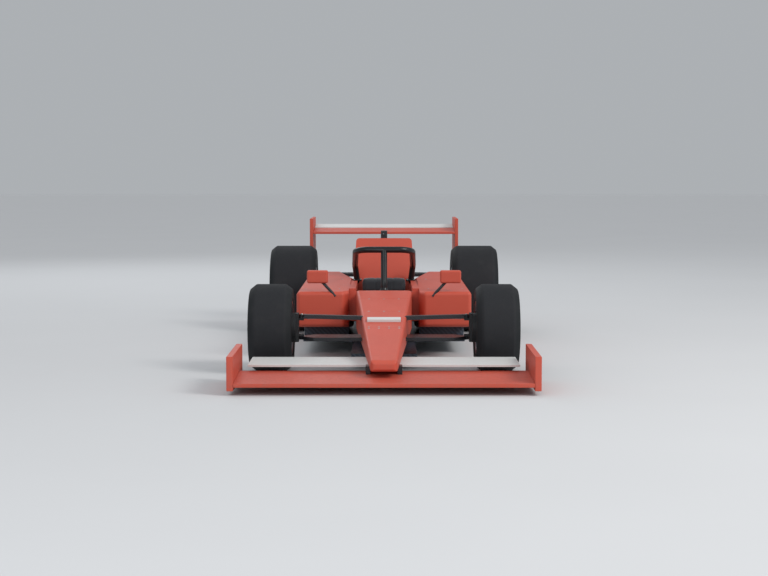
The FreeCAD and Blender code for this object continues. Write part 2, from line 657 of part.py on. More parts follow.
knee_low = C.tub_front_low + C.tub_floor
KNEE_FLOOR = ((C.scuttle_low + C.tub_wall, C.scuttle_y), (knee_low, C.tub_front_y), (knee_low, C.dash_y))
knee_room = skinned([(C.scuttle_half - C.tub_wall, low, dash_top - C.tub_wall / 2, C.knee_round, y)
                     for low, y in KNEE_FLOOR])
seat_low = [(C.dash_y, C.tub_front_low + C.tub_floor), (C.tub_keel_y, C.tub_low + C.tub_wall),
            (C.cockpit_rear_y, C.tub_low + C.tub_wall)]
seat_room = profile(seat_low + [(C.cockpit_rear_y, 2 * C.tub_top), (C.dash_y, 2 * C.tub_top)],
                    -C.cockpit_half, C.cockpit_half)


def seat_room_floor(y):
    """Height of the cockpit's sloping floor at one station."""
    (y_front, z_front), (y_rear, z_rear) = seat_low[:2]
    return z_front + (z_rear - z_front) * (y - y_front) / (y_rear - y_front)


rack_y = C.front_axle_y + C.rack_behind
rod_holes = drum(C.rack_r + C.slide_gap, (-C.tub_half, rack_y, C.rack_z),
                 (1, 0, 0), 2 * C.tub_half)
tub = tub_outside.cut([leg_tunnel, knee_room, seat_room])
# a web under the dash carries the steering column
column_head = Vector(0, C.wheel_y, C.wheel_z)
column_foot = Vector(0, rack_y + C.column_short, C.column_foot_z)
column_way = (column_head - column_foot).normalize()
web = block((-C.web_half, C.web_y, C.column_foot_z),
            (C.web_half, C.web_y + C.web_thick, dash_top - C.web_sink))
tub = tub.fuse(web.common(tub_outside))
column_hole = Part.makeCylinder(C.column_r + C.slide_gap, C.wheelbase, column_foot, column_way)
tub = tub.cut([rod_holes, column_hole.common(web)])
keep(shaped("monocoque_shape", tub), "monocoque")

slope = math.atan2(C.scuttle_top - C.nose_tip_top, C.scuttle_y - C.nose_tip_y)
panel_top = along_nose(C.panel_y)[2]
panel = block((-C.plate_half, -C.panel_high / 2, 0), (C.plate_half, C.panel_high / 2, C.panel_thick))
panel.rotate(Vector(), Vector(1, 0, 0), math.degrees(slope))
panel.translate(Vector(0, C.panel_y, panel_top))
keep(shaped("nose_panel_shape", panel), "nose_panel")

# ------------------------------------------------------------ front wing
main_plane = padded("front_wing", "YZ_Plane",
                    (("0", "0"), ("wing_chord", "wing_rise"),
                     ("wing_chord", "wing_rise + wing_thick"), ("0", "wing_thick")),
                    "2 * (wing_half - plate_thick)", ("0", "wing_front_y", "wing_low"))
keep(main_plane, "front_wing_main_plane")
endplates = []
flaps = []
for side, s in SIDES:
    end = padded("endplate_" + side, "YZ_Plane",
                 (("0", "0"), ("plate_long", "0"),
                  ("plate_long", "plate_top + plate_rise - plate_low"),
                  ("0", "plate_top - plate_low")), "plate_thick",
                 ("%d * (wing_half - plate_thick / 2)" % s, "wing_front_y", "plate_low"))
    endplates.append(end)
    flap = padded("flap_" + side, "YZ_Plane",
                  (("0", "0"), ("flap_chord", "flap_rise"),
                   ("flap_chord", "flap_rise + flap_thick"), ("0", "flap_thick")),
                  "flap_out - flap_in",
                  ("%d * (flap_out + flap_in) / 2" % s, "flap_front_y", "flap_low"))
    flaps.append(cut("flap_beside_nose_" + side, flap, cone_piece))
together("front_wing_endplates", endplates)
together("front_wing_flaps", flaps)

# Each pylon stands on the main plane and holds the nose's side.
pylon_start = C.nose_tip_y + C.pylon_back
pylon_ends = (pylon_start, pylon_start + C.pylon_long)
rise = C.wing_rise / C.wing_chord
pylon_feet = [(y, C.wing_low + C.wing_thick + rise * (y - C.wing_front_y)) for y in pylon_ends]
pylon_tops = [(y, C.pylon_top) for y in reversed(pylon_ends)]
pylon = profile(pylon_feet + pylon_tops, C.pylon_x - C.pylon_thick, C.pylon_x).cut(cone)
keep(shaped("pylon_shapes", both_sides(pylon)), "nose_pylons")

# ------------------------------------------------------------ floor
floor = padded("floor_body", "XY_Plane",
               (("-tray_half", "tray_front_y"), ("tray_half", "tray_front_y"),
                ("tray_half", "floor_front_y - step_long"), ("tray_half + step_wide", "floor_front_y"),
                ("floor_half", "floor_front_y"), ("floor_half", "floor_rear_y"),
                ("diffuser_half", "floor_rear_y"), ("diffuser_half", "floor_tail_y"),
                ("-diffuser_half", "floor_tail_y"), ("-diffuser_half", "floor_rear_y"),
                ("-floor_half", "floor_rear_y"), ("-floor_half", "floor_front_y"),
                ("-tray_half - step_wide", "floor_front_y"),
                ("-tray_half", "floor_front_y - step_long")),
               "floor_thick", ("0", "0", "floor_low + floor_thick / 2"))
keep(floor, "floor")
plank = box("plank", ("-plank_half", "tray_front_y + plank_inset", "floor_low - plank_thick"),
            ("plank_half", "floor_tail_y - plank_tail", "floor_low"))
keep(plank, "skid_plank")
keel = block((-C.keel_half, C.tray_front_y + C.keel_inset, floor_top),
             (C.keel_half, C.tub_rear_y, C.scuttle_top))
keel = keel.cut([tub_outside, leg_tunnel, seat_room, knee_room])
keel = max(keel.Solids, key=lambda solid: solid.Volume)
keep(shaped("keel_shape", keel), "tub_keel")
tail_roof = [(C.floor_tail_y, floor_top), (C.diffuser_rear_y, floor_top + C.diffuser_rise)]
tail_under = [(y, z - C.floor_thick) for y, z in reversed(tail_roof)]
diffuser = profile(tail_roof + tail_under, -C.diffuser_half, C.diffuser_half)
fence = profile([tail_under[1], tail_under[0], (C.diffuser_rear_y, C.floor_low)], 0, C.fence_thick)
fences = []
for share in (-1.0, -C.fence_share, C.fence_share, 1.0):
    copy = fence.copy()
    copy.translate(Vector(share * (C.diffuser_half - C.fence_thick / 2) - C.fence_thick / 2, 0, 0))
    fences.append(copy)
keep(shaped("diffuser_shape", diffuser.fuse(fences).removeSplitter()), "diffuser")

# ------------------------------------------------------------ sidepods
pod_plan = [(C.pod_inner, C.pod_front_y), (C.pod_half, C.pod_front_y),
            (C.pod_tail_half, C.pod_rear_y), (C.pod_tail_inner, C.pod_rear_y),
            (C.pod_waist, C.tub_rear_y), (C.tub_half, C.tub_rear_y),
            (C.tub_half, C.pod_front_y + C.pod_cheek)]
pod_side = [(C.pod_front_y, C.pod_low_front), (C.pod_seat_y, floor_top),
            (C.pod_rear_y, floor_top), (C.pod_rear_y, C.pod_top_rear),
            (C.pod_front_y, C.pod_top_front)]
pod = slab(pod_plan, 0, 2 * C.tub_top).common(profile(pod_side, 0, 2 * C.pod_half))


def on_pod_skin(edge):
    """Edges of a sidepod that face the air: not those on the tub or floor."""
    middle = edge.CenterOfMass
    free_side = middle.x > C.tub_half + TOUCH or middle.y > C.tub_rear_y + TOUCH
    return free_side and middle.z > floor_top + TOUCH


pod = softened(pod, C.pod_round, on_pod_skin)
for side, s in SIDES:
    keep(shaped("sidepod_shape_" + side, pod if s > 0 else flipped(pod)), "sidepod_" + side)

# ------------------------------------------------------------ engine and tail
engine = box("engine", ("-engine_half", "tub_rear_y", "floor_low + floor_thick"),
             ("engine_half", "tub_rear_y + engine_long", "cover_low"))
keep(engine, "engine_block")
engine_rear_y = C.tub_rear_y + C.engine_long
cover = skinned([(C.cover_half, C.cover_low, C.cover_top, C.cover_round, C.tub_rear_y),
                 (C.cover_mid_half, C.cover_tail_low, C.cover_mid_top, C.cover_round,
                  C.cover_mid_y),
                 (C.cover_tail_half, C.cover_tail_low, C.cover_tail_low + C.cover_tail_high,
                  C.cover_tail_round, C.cover_tail_y)])
brow = [(C.tub_rear_y, C.cover_low - TOUCH), (C.tub_rear_y, C.cover_low + C.cover_chin_up),
        (C.tub_rear_y + C.cover_cheek_back, C.cover_low + C.cover_cheek_up),
        (C.tub_rear_y + C.cover_brow_back, C.cover_top + TOUCH),
        (C.tub_rear_y - TOUCH, C.cover_top + TOUCH), (C.tub_rear_y - TOUCH, C.cover_low - TOUCH)]
cover = cover.cut(profile(brow, -C.tub_half, C.tub_half))
keep(shaped("cover_shape", cover), "engine_cover")
gearbox = skinned([(C.gearbox_half, C.gearbox_low, C.gearbox_top, C.case_round,
                    engine_rear_y),
                   (C.gearbox_tail_half, C.gearbox_tail_low, C.gearbox_top, C.case_round,
                    C.gearbox_rear_y)])
keep(shaped("gearbox_shape", gearbox), "gearbox")
CRASH_ENDS = ((C.crash_half, C.crash_high / 2, C.gearbox_rear_y),
              (C.crash_tail_half, C.crash_tail_high / 2, C.crash_rear_y))
crash = skinned([(half, C.crash_z - reach, C.crash_z + reach, C.crash_round, y)
                 for half, reach, y in CRASH_ENDS])
keep(shaped("crash_shape", crash), "rear_crash_structure")
light = box("light", ("-light_wide / 2", "crash_rear_y", "crash_z - light_drop"),
            ("light_wide / 2", "crash_rear_y + light_deep", "crash_z - light_drop + light_high"))
keep(light, "rear_light")
eye_y, eye_z = C.crash_rear_y + C.tow_back, C.crash_z - C.tow_drop
root_z = C.crash_z - C.tow_root_drop
tow = profile([(C.crash_rear_y, root_z), (C.crash_rear_y - C.tow_root, root_z),
               (C.crash_rear_y - C.tow_root / 2, eye_z - C.tow_half),
               (eye_y + C.tow_half, eye_z - C.tow_half), (eye_y + C.tow_half, eye_z + C.tow_half),
               (C.crash_rear_y, eye_z + C.tow_half)], -C.eye_plate / 2, C.eye_plate / 2)
tow = tow.cut(drum(C.eye_hole, (-C.eye_plate, eye_y, eye_z), (1, 0, 0), 2 * C.eye_plate))
tow = tow.cut(crash)
keep(shaped("tow_shape", tow), "rear_tow_eye")

camera = box("camera", ("-camera_wide / 2", "tub_rear_y + camera_back", "cover_top - camera_sink"),
             ("camera_wide / 2", "tub_rear_y + camera_back + camera_long",
              "cover_top + camera_high"))
doc.recompute()
camera_case = shaped("camera_case", camera.Shape.cut(cover))
doc.removeObject(camera.Name)
keep(camera_case, "camera_pod")

# ------------------------------------------------------------ rear wing
rmain = padded("rear_main", "YZ_Plane",
               (("0", "0"), ("rmain_chord", "rmain_rise"),
                ("rmain_chord", "rmain_rise + rmain_thick"), ("0", "rmain_thick")),
               "2 * (rwing_half - rplate_thick)",
               ("0", "rwing_front_y", "rmain_z - rmain_thick / 2"))
keep(rmain, "rear_wing_main_plane")
rflap = padded("rear_flap", "YZ_Plane",
               (("0", "0"), ("rflap_chord", "rflap_rise"),
                ("rflap_chord", "rflap_rise + rflap_thick"), ("0", "rflap_thick")),
               "2 * (rwing_half - rplate_thick)",
               ("0", "rwing_front_y + rmain_chord + rflap_slot", "rmain_z + rmain_rise"))
keep(rflap, "rear_wing_flap")
rear_endplates = []
for side, s in SIDES:
    end = padded("rear_endplate_" + side, "YZ_Plane",
                 (("0", "0"), ("rwing_long", "0"), ("rwing_long", "rwing_top - rwing_low"),
                  ("0", "rwing_top - rwing_low")), "rplate_thick",
                 ("%d * (rwing_half - rplate_thick / 2)" % s, "rwing_front_y", "rwing_low"))
    rear_endplates.append(end)
together("rear_wing_endplates", rear_endplates)
under_z = C.rmain_z - C.rmain_thick / 2
swan_start = C.rwing_front_y + C.swan_head_back
swan_ends = (swan_start, swan_start + C.swan_head_long)
swan_tops = [(y, under_z + C.rmain_rise * (y - C.rwing_front_y) / C.rmain_chord)
             for y in reversed(swan_ends)]
swan_foot = C.gearbox_rear_y + C.swan_foot_back
swan = profile([(swan_foot, C.crash_z), (swan_foot + C.swan_foot_long, C.crash_z)]
               + swan_tops, -C.swan_thick / 2, C.swan_thick / 2).cut(crash)
swan = max(swan.Solids, key=lambda solid: solid.CenterOfMass.z)
keep(shaped("swan_shape", swan), "rear_wing_pylon")

# ------------------------------------------------------------ halo and cockpit


def fitted_path(points, radii):
    """Straight runs joined by arcs that touch both runs."""
    edges = []
    last = Vector(*points[0])
    for i in range(1, len(points) - 1):
        corner = Vector(*points[i])
        back = (Vector(*points[i - 1]) - corner).normalize()
        ahead = (Vector(*points[i + 1]) - corner).normalize()
        half_turn = back.getAngle(ahead) / 2
        reach = radii[i - 1] / math.tan(half_turn)
        start, end = corner + back * reach, corner + ahead * reach
        inward = (back + ahead).normalize()
        centre = corner + inward * (radii[i - 1] / math.sin(half_turn))
        middle = centre - inward * radii[i - 1]
        edges.append(Part.makeLine(last, start))
        edges.append(Part.Arc(start, middle, end).toShape())
        last = end
    edges.append(Part.makeLine(last, Vector(*points[-1])))
    return Part.Wire(edges)


def tube(points, radii, radius):
    """A round bar along a fitted path."""
    path = fitted_path(points, radii)
    start = Vector(*points[0])
    way = (Vector(*points[1]) - start).normalize()
    ring = Part.Wire([Part.makeCircle(radius, start, way)])
    return path.makePipeShell([ring], True, True)


halo_front = (C.halo_half, C.halo_front_y, C.halo_top)
halo_foot = (C.halo_foot_half, C.halo_foot_y, C.tub_top - C.halo_sink)
halo_knee = (C.halo_knee_half, C.halo_foot_y - C.halo_knee_fore, C.tub_top + C.halo_knee_up)
left_half = [halo_foot, halo_knee, halo_front]
right_half = [(-x, y, z) for x, y, z in reversed(left_half)]
halo_bends = (C.halo_knee_bend, C.halo_bend, C.halo_bend, C.halo_knee_bend)
halo = tube(left_half + right_half, halo_bends, C.halo_r)
pillar = tube([(0, C.pillar_foot_y, dash_top - C.halo_sink),
               (0, C.pillar_foot_y, dash_top + C.pillar_rise),
               (0, C.halo_front_y, C.halo_top)], (C.pillar_bend,), C.pillar_r)
halo = halo.fuse(pillar).cut([tub_outside])
halo = max(halo.Solids, key=lambda solid: solid.Volume)
keep(shaped("halo_shape", halo), "halo")

# The seat is one soft shell: a base, a leaning back and the headrest on top.
seat_y = C.cockpit_rear_y - C.seat_gap
seat_foot_z = C.tub_low + C.tub_wall + C.seat_gap
seat_side = [(C.seat_front_y, seat_room_floor(C.seat_front_y) + C.seat_lift),
             (C.tub_keel_y, seat_foot_z), (seat_y, seat_foot_z), (seat_y, C.seat_top),
             (seat_y - C.seat_thick, C.seat_top),
             (seat_y - C.seat_thick - C.seat_lean, C.seat_back_z),
             (C.seat_front_y + C.seat_dip_back, C.seat_dip_z),
             (C.seat_front_y, C.seat_front_top)]
seat = profile(seat_side, -C.seat_half, C.seat_half)
keep(shaped("seat_shape", seat), "seat")

# ------------------------------------------------------------ mirrors
mirror_half = Vector(C.mirror_wide / 2, C.mirror_deep / 2, C.mirror_high / 2)
mirror_middle = Vector(C.mirror_x, C.mirror_y, C.mirror_z)
housing = block(mirror_middle - mirror_half, mirror_middle + mirror_half)
housing = housing.makeFillet(C.mirror_round, housing.Edges)
pane_half = mirror_half - Vector(C.mirror_round, 0, C.mirror_round)
pane_low = mirror_middle - pane_half
pane_high = mirror_middle + pane_half
pane_high.y -= C.pane_set
pane_low.y = pane_high.y - C.pane_thick
pane = block(pane_low, pane_high)
recess = block(pane_low, pane_high + Vector(0, 2 * C.pane_set, 0))
housing = housing.cut(recess)
foot = Vector(C.stalk_foot_x, C.pod_front_y + C.stalk_foot_back,
              C.pod_top_front - C.stalk_foot_drop)
head = Vector(C.mirror_x - C.stalk_head_in, C.mirror_y, C.mirror_z - C.mirror_high / 2 + C.mirror_round)
stalk = Part.makeCylinder(C.stalk_r, (head - foot).Length, foot, head - foot)
stalk = stalk.cut([pod, housing])
stalk = max(stalk.Solids, key=lambda solid: solid.Volume)
keep(shaped("housing_shapes", both_sides(housing)), "mirror_housings")
keep(shaped("pane_shapes", both_sides(pane)), "mirror_glass")
keep(shaped("stalk_shapes", both_sides(stalk)), "mirror_stalks")

# ------------------------------------------------------------ steering
rack_bar = rod("rack_bar", "x", "rack_r",
               ("-rod_end_x", "front_axle_y + rack_behind", "rack_z"), "2 * rod_end_x")
rack_ends = [rod("rod_end_" + side, "z", "rod_end_r",
                 ("%d * rod_end_x" % s, "front_axle_y + rack_behind", "rack_z - rack_r"),
                 "2 * rack_r") for side, s in SIDES]
keep(join("rack_and_rods", [rack_bar] + rack_ends), "steering_rack")

grip = block((-C.wheel_half_w, -C.wheel_deep / 2, -C.wheel_half_h),
             (C.wheel_half_w, C.wheel_deep / 2, C.wheel_half_h))
grip = softened(grip, C.wheel_round, lambda e: abs(e.CenterOfMass.x) > C.wheel_half_w - 1
                and abs(e.CenterOfMass.z) > C.wheel_half_h - 1)
hand_z = C.wheel_half_h - C.grip_wide
hand_hole = block((C.wheel_half_w / 2, -C.wheel_deep, -hand_z),
                  (C.wheel_half_w - C.grip_wide, C.wheel_deep, hand_z))
hand_hole = softened(hand_hole, C.grip_round, lambda e: abs(e.CenterOfMass.y) < 1)
grip = grip.cut([hand_hole, flipped(hand_hole)])
column_length = (column_head - column_foot).Length - C.wheel_deep / 2
column = Part.makeCylinder(C.column_r, column_length, column_foot, column_way)
grip.rotate(Vector(), Vector(1, 0, 0), math.degrees(math.atan2(column_way.z, column_way.y)))
grip.translate(column_head)
keep(shaped("grip_and_column", grip.fuse(column).removeSplitter()), "steering_wheel")

# ------------------------------------------------------------ front suspension
axle = C.front_axle_y
half_deep = C.lower_arm_deep / 2
eye_low = C.upper_arm_z - C.arm_thick / 2
low = C.lower_arm_z - C.lower_arm_thick / 2
kingpin = (C.kingpin_x, axle)
bore = drum(C.kingpin_r + C.pin_fit, (*kingpin, 0), (0, 0, 1), 2 * C.front_tyre_r)
wrong_side = block((-C.wing_half, 2 * axle, 0), (0, 0, C.wing_half))

upper = bar((C.kingpin_x, axle, C.upper_arm_z), (0, axle, C.upper_foot_z),
            C.upper_arm_deep, C.arm_thick)
upper = upper.cut(block((C.kingpin_x - C.eye_r, 2 * axle, 0), (C.wing_half, 0, C.wing_half)))
eye = drum(C.eye_r, (*kingpin, eye_low), (0, 0, 1), C.arm_thick)
link = block((C.kingpin_x - 2 * C.eye_r, axle - C.eye_r, eye_low),
             (C.kingpin_x, axle + C.eye_r, eye_low + C.arm_thick))
upper = upper.fuse([eye, link]).cut([bore, tub_outside, wrong_side])
upper = max(upper.Solids, key=lambda solid: solid.CenterOfMass.x).removeSplitter()

neck_x = C.kingpin_x - C.lower_arm_neck
lower_plan = [(C.kingpin_x, axle - C.eye_r), (neck_x, axle - half_deep), (0, axle - half_deep),
              (0, axle + half_deep), (neck_x, axle + half_deep), (C.kingpin_x, axle + C.eye_r)]
lower = slab(lower_plan, low, low + C.lower_arm_thick)
lower = lower.fuse(drum(C.eye_r, (*kingpin, low), (0, 0, 1), C.lower_arm_thick))
lower = lower.cut([bore, tub_outside])
lower = max(lower.Solids, key=lambda solid: solid.CenterOfMass.x).removeSplitter()
keep(shaped("front_arm_shapes", Part.makeCompound(
    [upper, lower, flipped(upper), flipped(lower)])), "front_suspension_arms")

plate_x = C.kingpin_x + C.eye_r + C.eye_gap
plate = block((plate_x, axle - C.upright_half, low - C.plate_low_over),
              (C.front_drum_x, axle + C.upright_half, eye_low + C.arm_thick + C.plate_top_over))
lower_top = low + C.lower_arm_thick + C.lug_gap
lugs = [block((C.kingpin_x - C.lug_half, axle - C.lug_half, z),
              (plate_x + C.root, axle + C.lug_half, z + C.lug_thick))
        for z in (eye_low - C.lug_gap - C.lug_thick, lower_top)]
pins = [drum(C.kingpin_r, (*kingpin, eye_low - C.lug_gap - C.pin_end), (0, 0, 1),
             C.arm_thick + C.lug_gap + C.pin_end / 2),
        drum(C.kingpin_r, (*kingpin, low + C.pin_end / 2), (0, 0, 1),
             C.lower_arm_thick + C.lug_gap + C.pin_end / 2)]
arm_end = (C.rod_end_x + 2 * C.rod_end_r + C.open_pivot, rack_y)
steering_arm = bar((plate_x + 2 * C.root, axle + C.upright_half - C.root, C.rack_z),
                   (*arm_end, C.rack_z), C.steer_arm_wide, C.steer_arm_thick)
ball = drum(C.rod_end_r, (*arm_end, C.rack_z - C.steer_arm_thick / 2), (0, 0, 1),
            C.steer_arm_thick)
disc_outer = C.wheel_x + C.front_tyre_w / 2 - C.disc_inset
spindle = drum(C.spindle_r, (C.front_drum_x - C.root, axle, C.front_tyre_r), (1, 0, 0),
               disc_outer - C.front_drum_x + C.root / 2)
brake = drum(C.front_drum_r, (C.front_drum_x, axle, C.front_tyre_r), (1, 0, 0), C.front_drum_w)
upright = plate.fuse(lugs + pins + [steering_arm, ball, brake, spindle]).removeSplitter()
for side, s in SIDES:
    keep(shaped("upright_shape_" + side, upright if s > 0 else flipped(upright)),
         "front_upright_" + side)

# ------------------------------------------------------------ rear suspension
axle = C.rear_axle_y
plate_x = C.rear_drum_x - C.upright_thick
plate = block((plate_x, axle - C.rear_upright_half, C.rear_low_arm_z - C.rear_upright_over),
              (C.rear_drum_x, axle + C.rear_upright_half, C.rear_arm_z + C.rear_upright_over))
disc_outer = C.wheel_x + C.rear_tyre_w / 2 - C.disc_inset
spindle = drum(C.spindle_r, (C.rear_drum_x - C.root, axle, C.rear_tyre_r), (1, 0, 0),
               disc_outer - C.rear_drum_x + C.root / 2)
brake = drum(C.rear_drum_r, (C.rear_drum_x, axle, C.rear_tyre_r), (1, 0, 0), C.rear_drum_w)
arm_plan = [(plate_x, axle - C.rear_arm_half), (0, axle - C.rear_arm_deep),
            (0, axle + C.rear_arm_deep), (plate_x, axle + C.rear_arm_half)]
arm_window = [(plate_x - C.rear_arm_web, axle), (0, axle - C.rear_arm_deep + C.arm_wide),
              (0, axle + C.rear_arm_deep - C.arm_wide)]
rear_arms = []
for z in (C.rear_arm_z, C.rear_low_arm_z):
    arm = slab(arm_plan, z - C.arm_thick / 2, z + C.arm_thick / 2)
    arm = arm.cut([slab(arm_window, 0, C.wing_half), gearbox])
    arm = max(arm.Solids, key=lambda solid: solid.CenterOfMass.x)
    rear_arms += [arm, flipped(arm)]
shaft = drum(C.shaft_r, (0, axle, C.rear_tyre_r), (1, 0, 0), plate_x).cut(gearbox)
keep(shaped("rear_arm_shapes", Part.makeCompound(rear_arms)), "rear_suspension_arms")
rear_upright = plate.fuse([brake, spindle]).removeSplitter()
keep(shaped("rear_upright_shapes", both_sides(rear_upright)), "rear_uprights")
keep(shaped("shaft_shapes", both_sides(shaft)), "driveshafts")

# ------------------------------------------------------------ wheels
# columns: name, side, formula of the axle's y, tyre radius cell, tyre width cell
WHEELS = (
    ("front_left", 1, "front_axle_y", "front_tyre_r", "front_tyre_w"),
    ("front_right", -1, "front_axle_y", "front_tyre_r", "front_tyre_w"),
    ("rear_left", 1, "rear_axle_y", "rear_tyre_r", "rear_tyre_w"),
    ("rear_right", -1, "rear_axle_y", "rear_tyre_r", "rear_tyre_w"),
)
for name, s, axle, tyre_r, tyre_w in WHEELS:
    turn = FreeCAD.Placement(Vector(), FreeCAD.Rotation(Vector(0, 0, 1), 0 if s > 0 else 180))
    centre = ("%d * wheel_x" % s, axle, tyre_r)
    half = tyre_w + " / 2"
    tyre = turned("tyre_" + name, (
        ("-" + half + " + bead_step", "rim_r"), ("-" + half, tyre_r + " * flat_share"),
        ("-" + half, tyre_r + " - shoulder_drop"), ("-" + half + " + shoulder", tyre_r),
        (half + " - shoulder", tyre_r), (half, tyre_r + " - shoulder_drop"),
        (half, tyre_r + " * flat_share"), (half + " - bead_step", "rim_r")))
    tyre.Placement = turn
    place(tyre, centre)
    keep(tyre, name + "_tyre")
    disc_out = half + " - disc_inset"
    disc_in = disc_out + " - disc_thick"
    rim = turned("rim_" + name, (
        ("-" + half + " + rim_inset + bead_step", "rim_r"),
        ("-" + half + " + rim_inset + bead_step", "rim_r - rim_wall"),
        (disc_in, "rim_r - rim_wall"), (disc_in, "hub_r"),
        (disc_out + " - hub_length", "hub_r"),
        (disc_out + " - hub_length", "spindle_r + spindle_fit"),
        (disc_out, "spindle_r + spindle_fit"), (disc_out, "rim_r - rim_wall"),
        (half + " - rim_inset - bead_step", "rim_r - rim_wall"),
        (half + " - rim_inset - bead_step", "rim_r")))
    doc.recompute()
    window = outline(rim, "window_" + name, "YZ_Plane", (
        ("-window_half", "window_in"), ("window_half", "window_in"),
        ("window_wide", "window_out"), ("-window_wide", "window_out")))
    pocket = rim.newObject("PartDesign::Pocket", "window_cut_" + name)
    pocket.Profile = window
    pocket.Midplane = True
    bind(pocket, {"Length": "2 * " + tyre_w})
    doc.recompute()
    spokes = rim.newObject("PartDesign::PolarPattern", "spokes_" + name)
    spokes.Originals = [pocket]
    spokes.Axis = (rim.Origin.OriginFeatures[0], [""])
    spokes.Angle = 360
    bind(spokes, {"Occurrences": "spokes"})
    rim.Tip = spokes
    rim.Placement = turn
    place(rim, centre)
    keep(rim, name + "_rim")

doc.recompute()

# ------------------------------------------------------------ checks and files
for thing in doc.Objects:
    wrong = [word for word in thing.State if word in ("Invalid", "Error")]
    if wrong:
        raise RuntimeError("%s didn't build: %s" % (thing.Label, wrong))
for piece in PIECES:
    shape = piece.Shape
    if shape.isNull() or not shape.isValid() or not shape.Solids:
        raise RuntimeError("%s has no sound shape" % piece.Label)

os.makedirs("parts", exist_ok=True)
for piece in PIECES:
    piece.Shape.exportStep("parts/%s.step" % piece.Label)
    extent = piece.Shape.BoundBox
    print("%-26s solids %d  %.2f litres" % (
        piece.Label, len(piece.Shape.Solids), piece.Shape.Volume / 1e6))
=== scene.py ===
"""Open wheel racing car: finishes, trim and light round the fixed frame."""

import json
import math

import bmesh
import bpy
from mathutils import Matrix, Vector
from mathutils.bvhtree import BVHTree

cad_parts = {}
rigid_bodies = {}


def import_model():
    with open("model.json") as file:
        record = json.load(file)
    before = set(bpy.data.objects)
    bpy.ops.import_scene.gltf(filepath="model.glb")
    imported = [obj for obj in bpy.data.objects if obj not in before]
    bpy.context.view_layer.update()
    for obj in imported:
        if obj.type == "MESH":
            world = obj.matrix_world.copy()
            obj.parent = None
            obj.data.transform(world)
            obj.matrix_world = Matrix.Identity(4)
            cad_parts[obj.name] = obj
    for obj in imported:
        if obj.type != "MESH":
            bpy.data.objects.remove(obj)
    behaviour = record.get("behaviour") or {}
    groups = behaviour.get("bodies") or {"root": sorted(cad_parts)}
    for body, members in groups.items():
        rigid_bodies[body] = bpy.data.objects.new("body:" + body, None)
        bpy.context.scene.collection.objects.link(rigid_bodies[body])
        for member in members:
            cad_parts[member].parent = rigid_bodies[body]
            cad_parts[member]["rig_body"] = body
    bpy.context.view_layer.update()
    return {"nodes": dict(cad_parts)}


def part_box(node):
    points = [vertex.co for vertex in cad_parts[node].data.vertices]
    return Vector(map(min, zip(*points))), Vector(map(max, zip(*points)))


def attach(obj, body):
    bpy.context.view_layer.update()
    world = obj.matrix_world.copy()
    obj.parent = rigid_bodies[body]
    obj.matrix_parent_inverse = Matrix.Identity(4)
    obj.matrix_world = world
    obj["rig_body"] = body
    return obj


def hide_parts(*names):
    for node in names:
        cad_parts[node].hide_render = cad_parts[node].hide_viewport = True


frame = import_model()
FULL_TURN = 2 * math.pi
X, Y, Z = Vector((1, 0, 0)), Vector((0, 1, 0)), Vector((0, 0, 1))


# ---------------------------------------------------------------- finishes
class Amount:
    """A number or colour that varies over a surface; sums on it add Math nodes."""

    def __init__(self, finish, socket):
        self.finish = finish
        self.socket = socket

    def maths(self, operation, *terms):
        return self.finish.node("ShaderNodeMath", {"operation": operation}, dict(enumerate(terms)))

    def __add__(self, other):
        return self.maths("ADD", self, other)

    def __sub__(self, other):
        return self.maths("SUBTRACT", self, other)

    def __rsub__(self, other):
        return self.maths("SUBTRACT", other, self)

    def __mul__(self, other):
        return self.maths("MULTIPLY", self, other)

    def __truediv__(self, other):
        return self.maths("DIVIDE", self, other)

    def __gt__(self, other):
        return self.maths("GREATER_THAN", self, other)

    def __lt__(self, other):
        return self.maths("LESS_THAN", self, other)

    __radd__ = __add__
    __rmul__ = __mul__

    def floor(self):
        return self.maths("FLOOR", self)

    def over(self, period):
        return self.maths("FLOORED_MODULO", self, period)

    def size(self):
        return self.maths("ABSOLUTE", self)

    def wave(self):
        return self.maths("SINE", self)

    def between(self, low, high):
        """0 at low, 1 at high, with a soft step."""
        return self.finish.node("ShaderNodeMapRange", {"interpolation_type": "SMOOTHSTEP"},
                                {"Value": self, "From Min": low, "From Max": high})


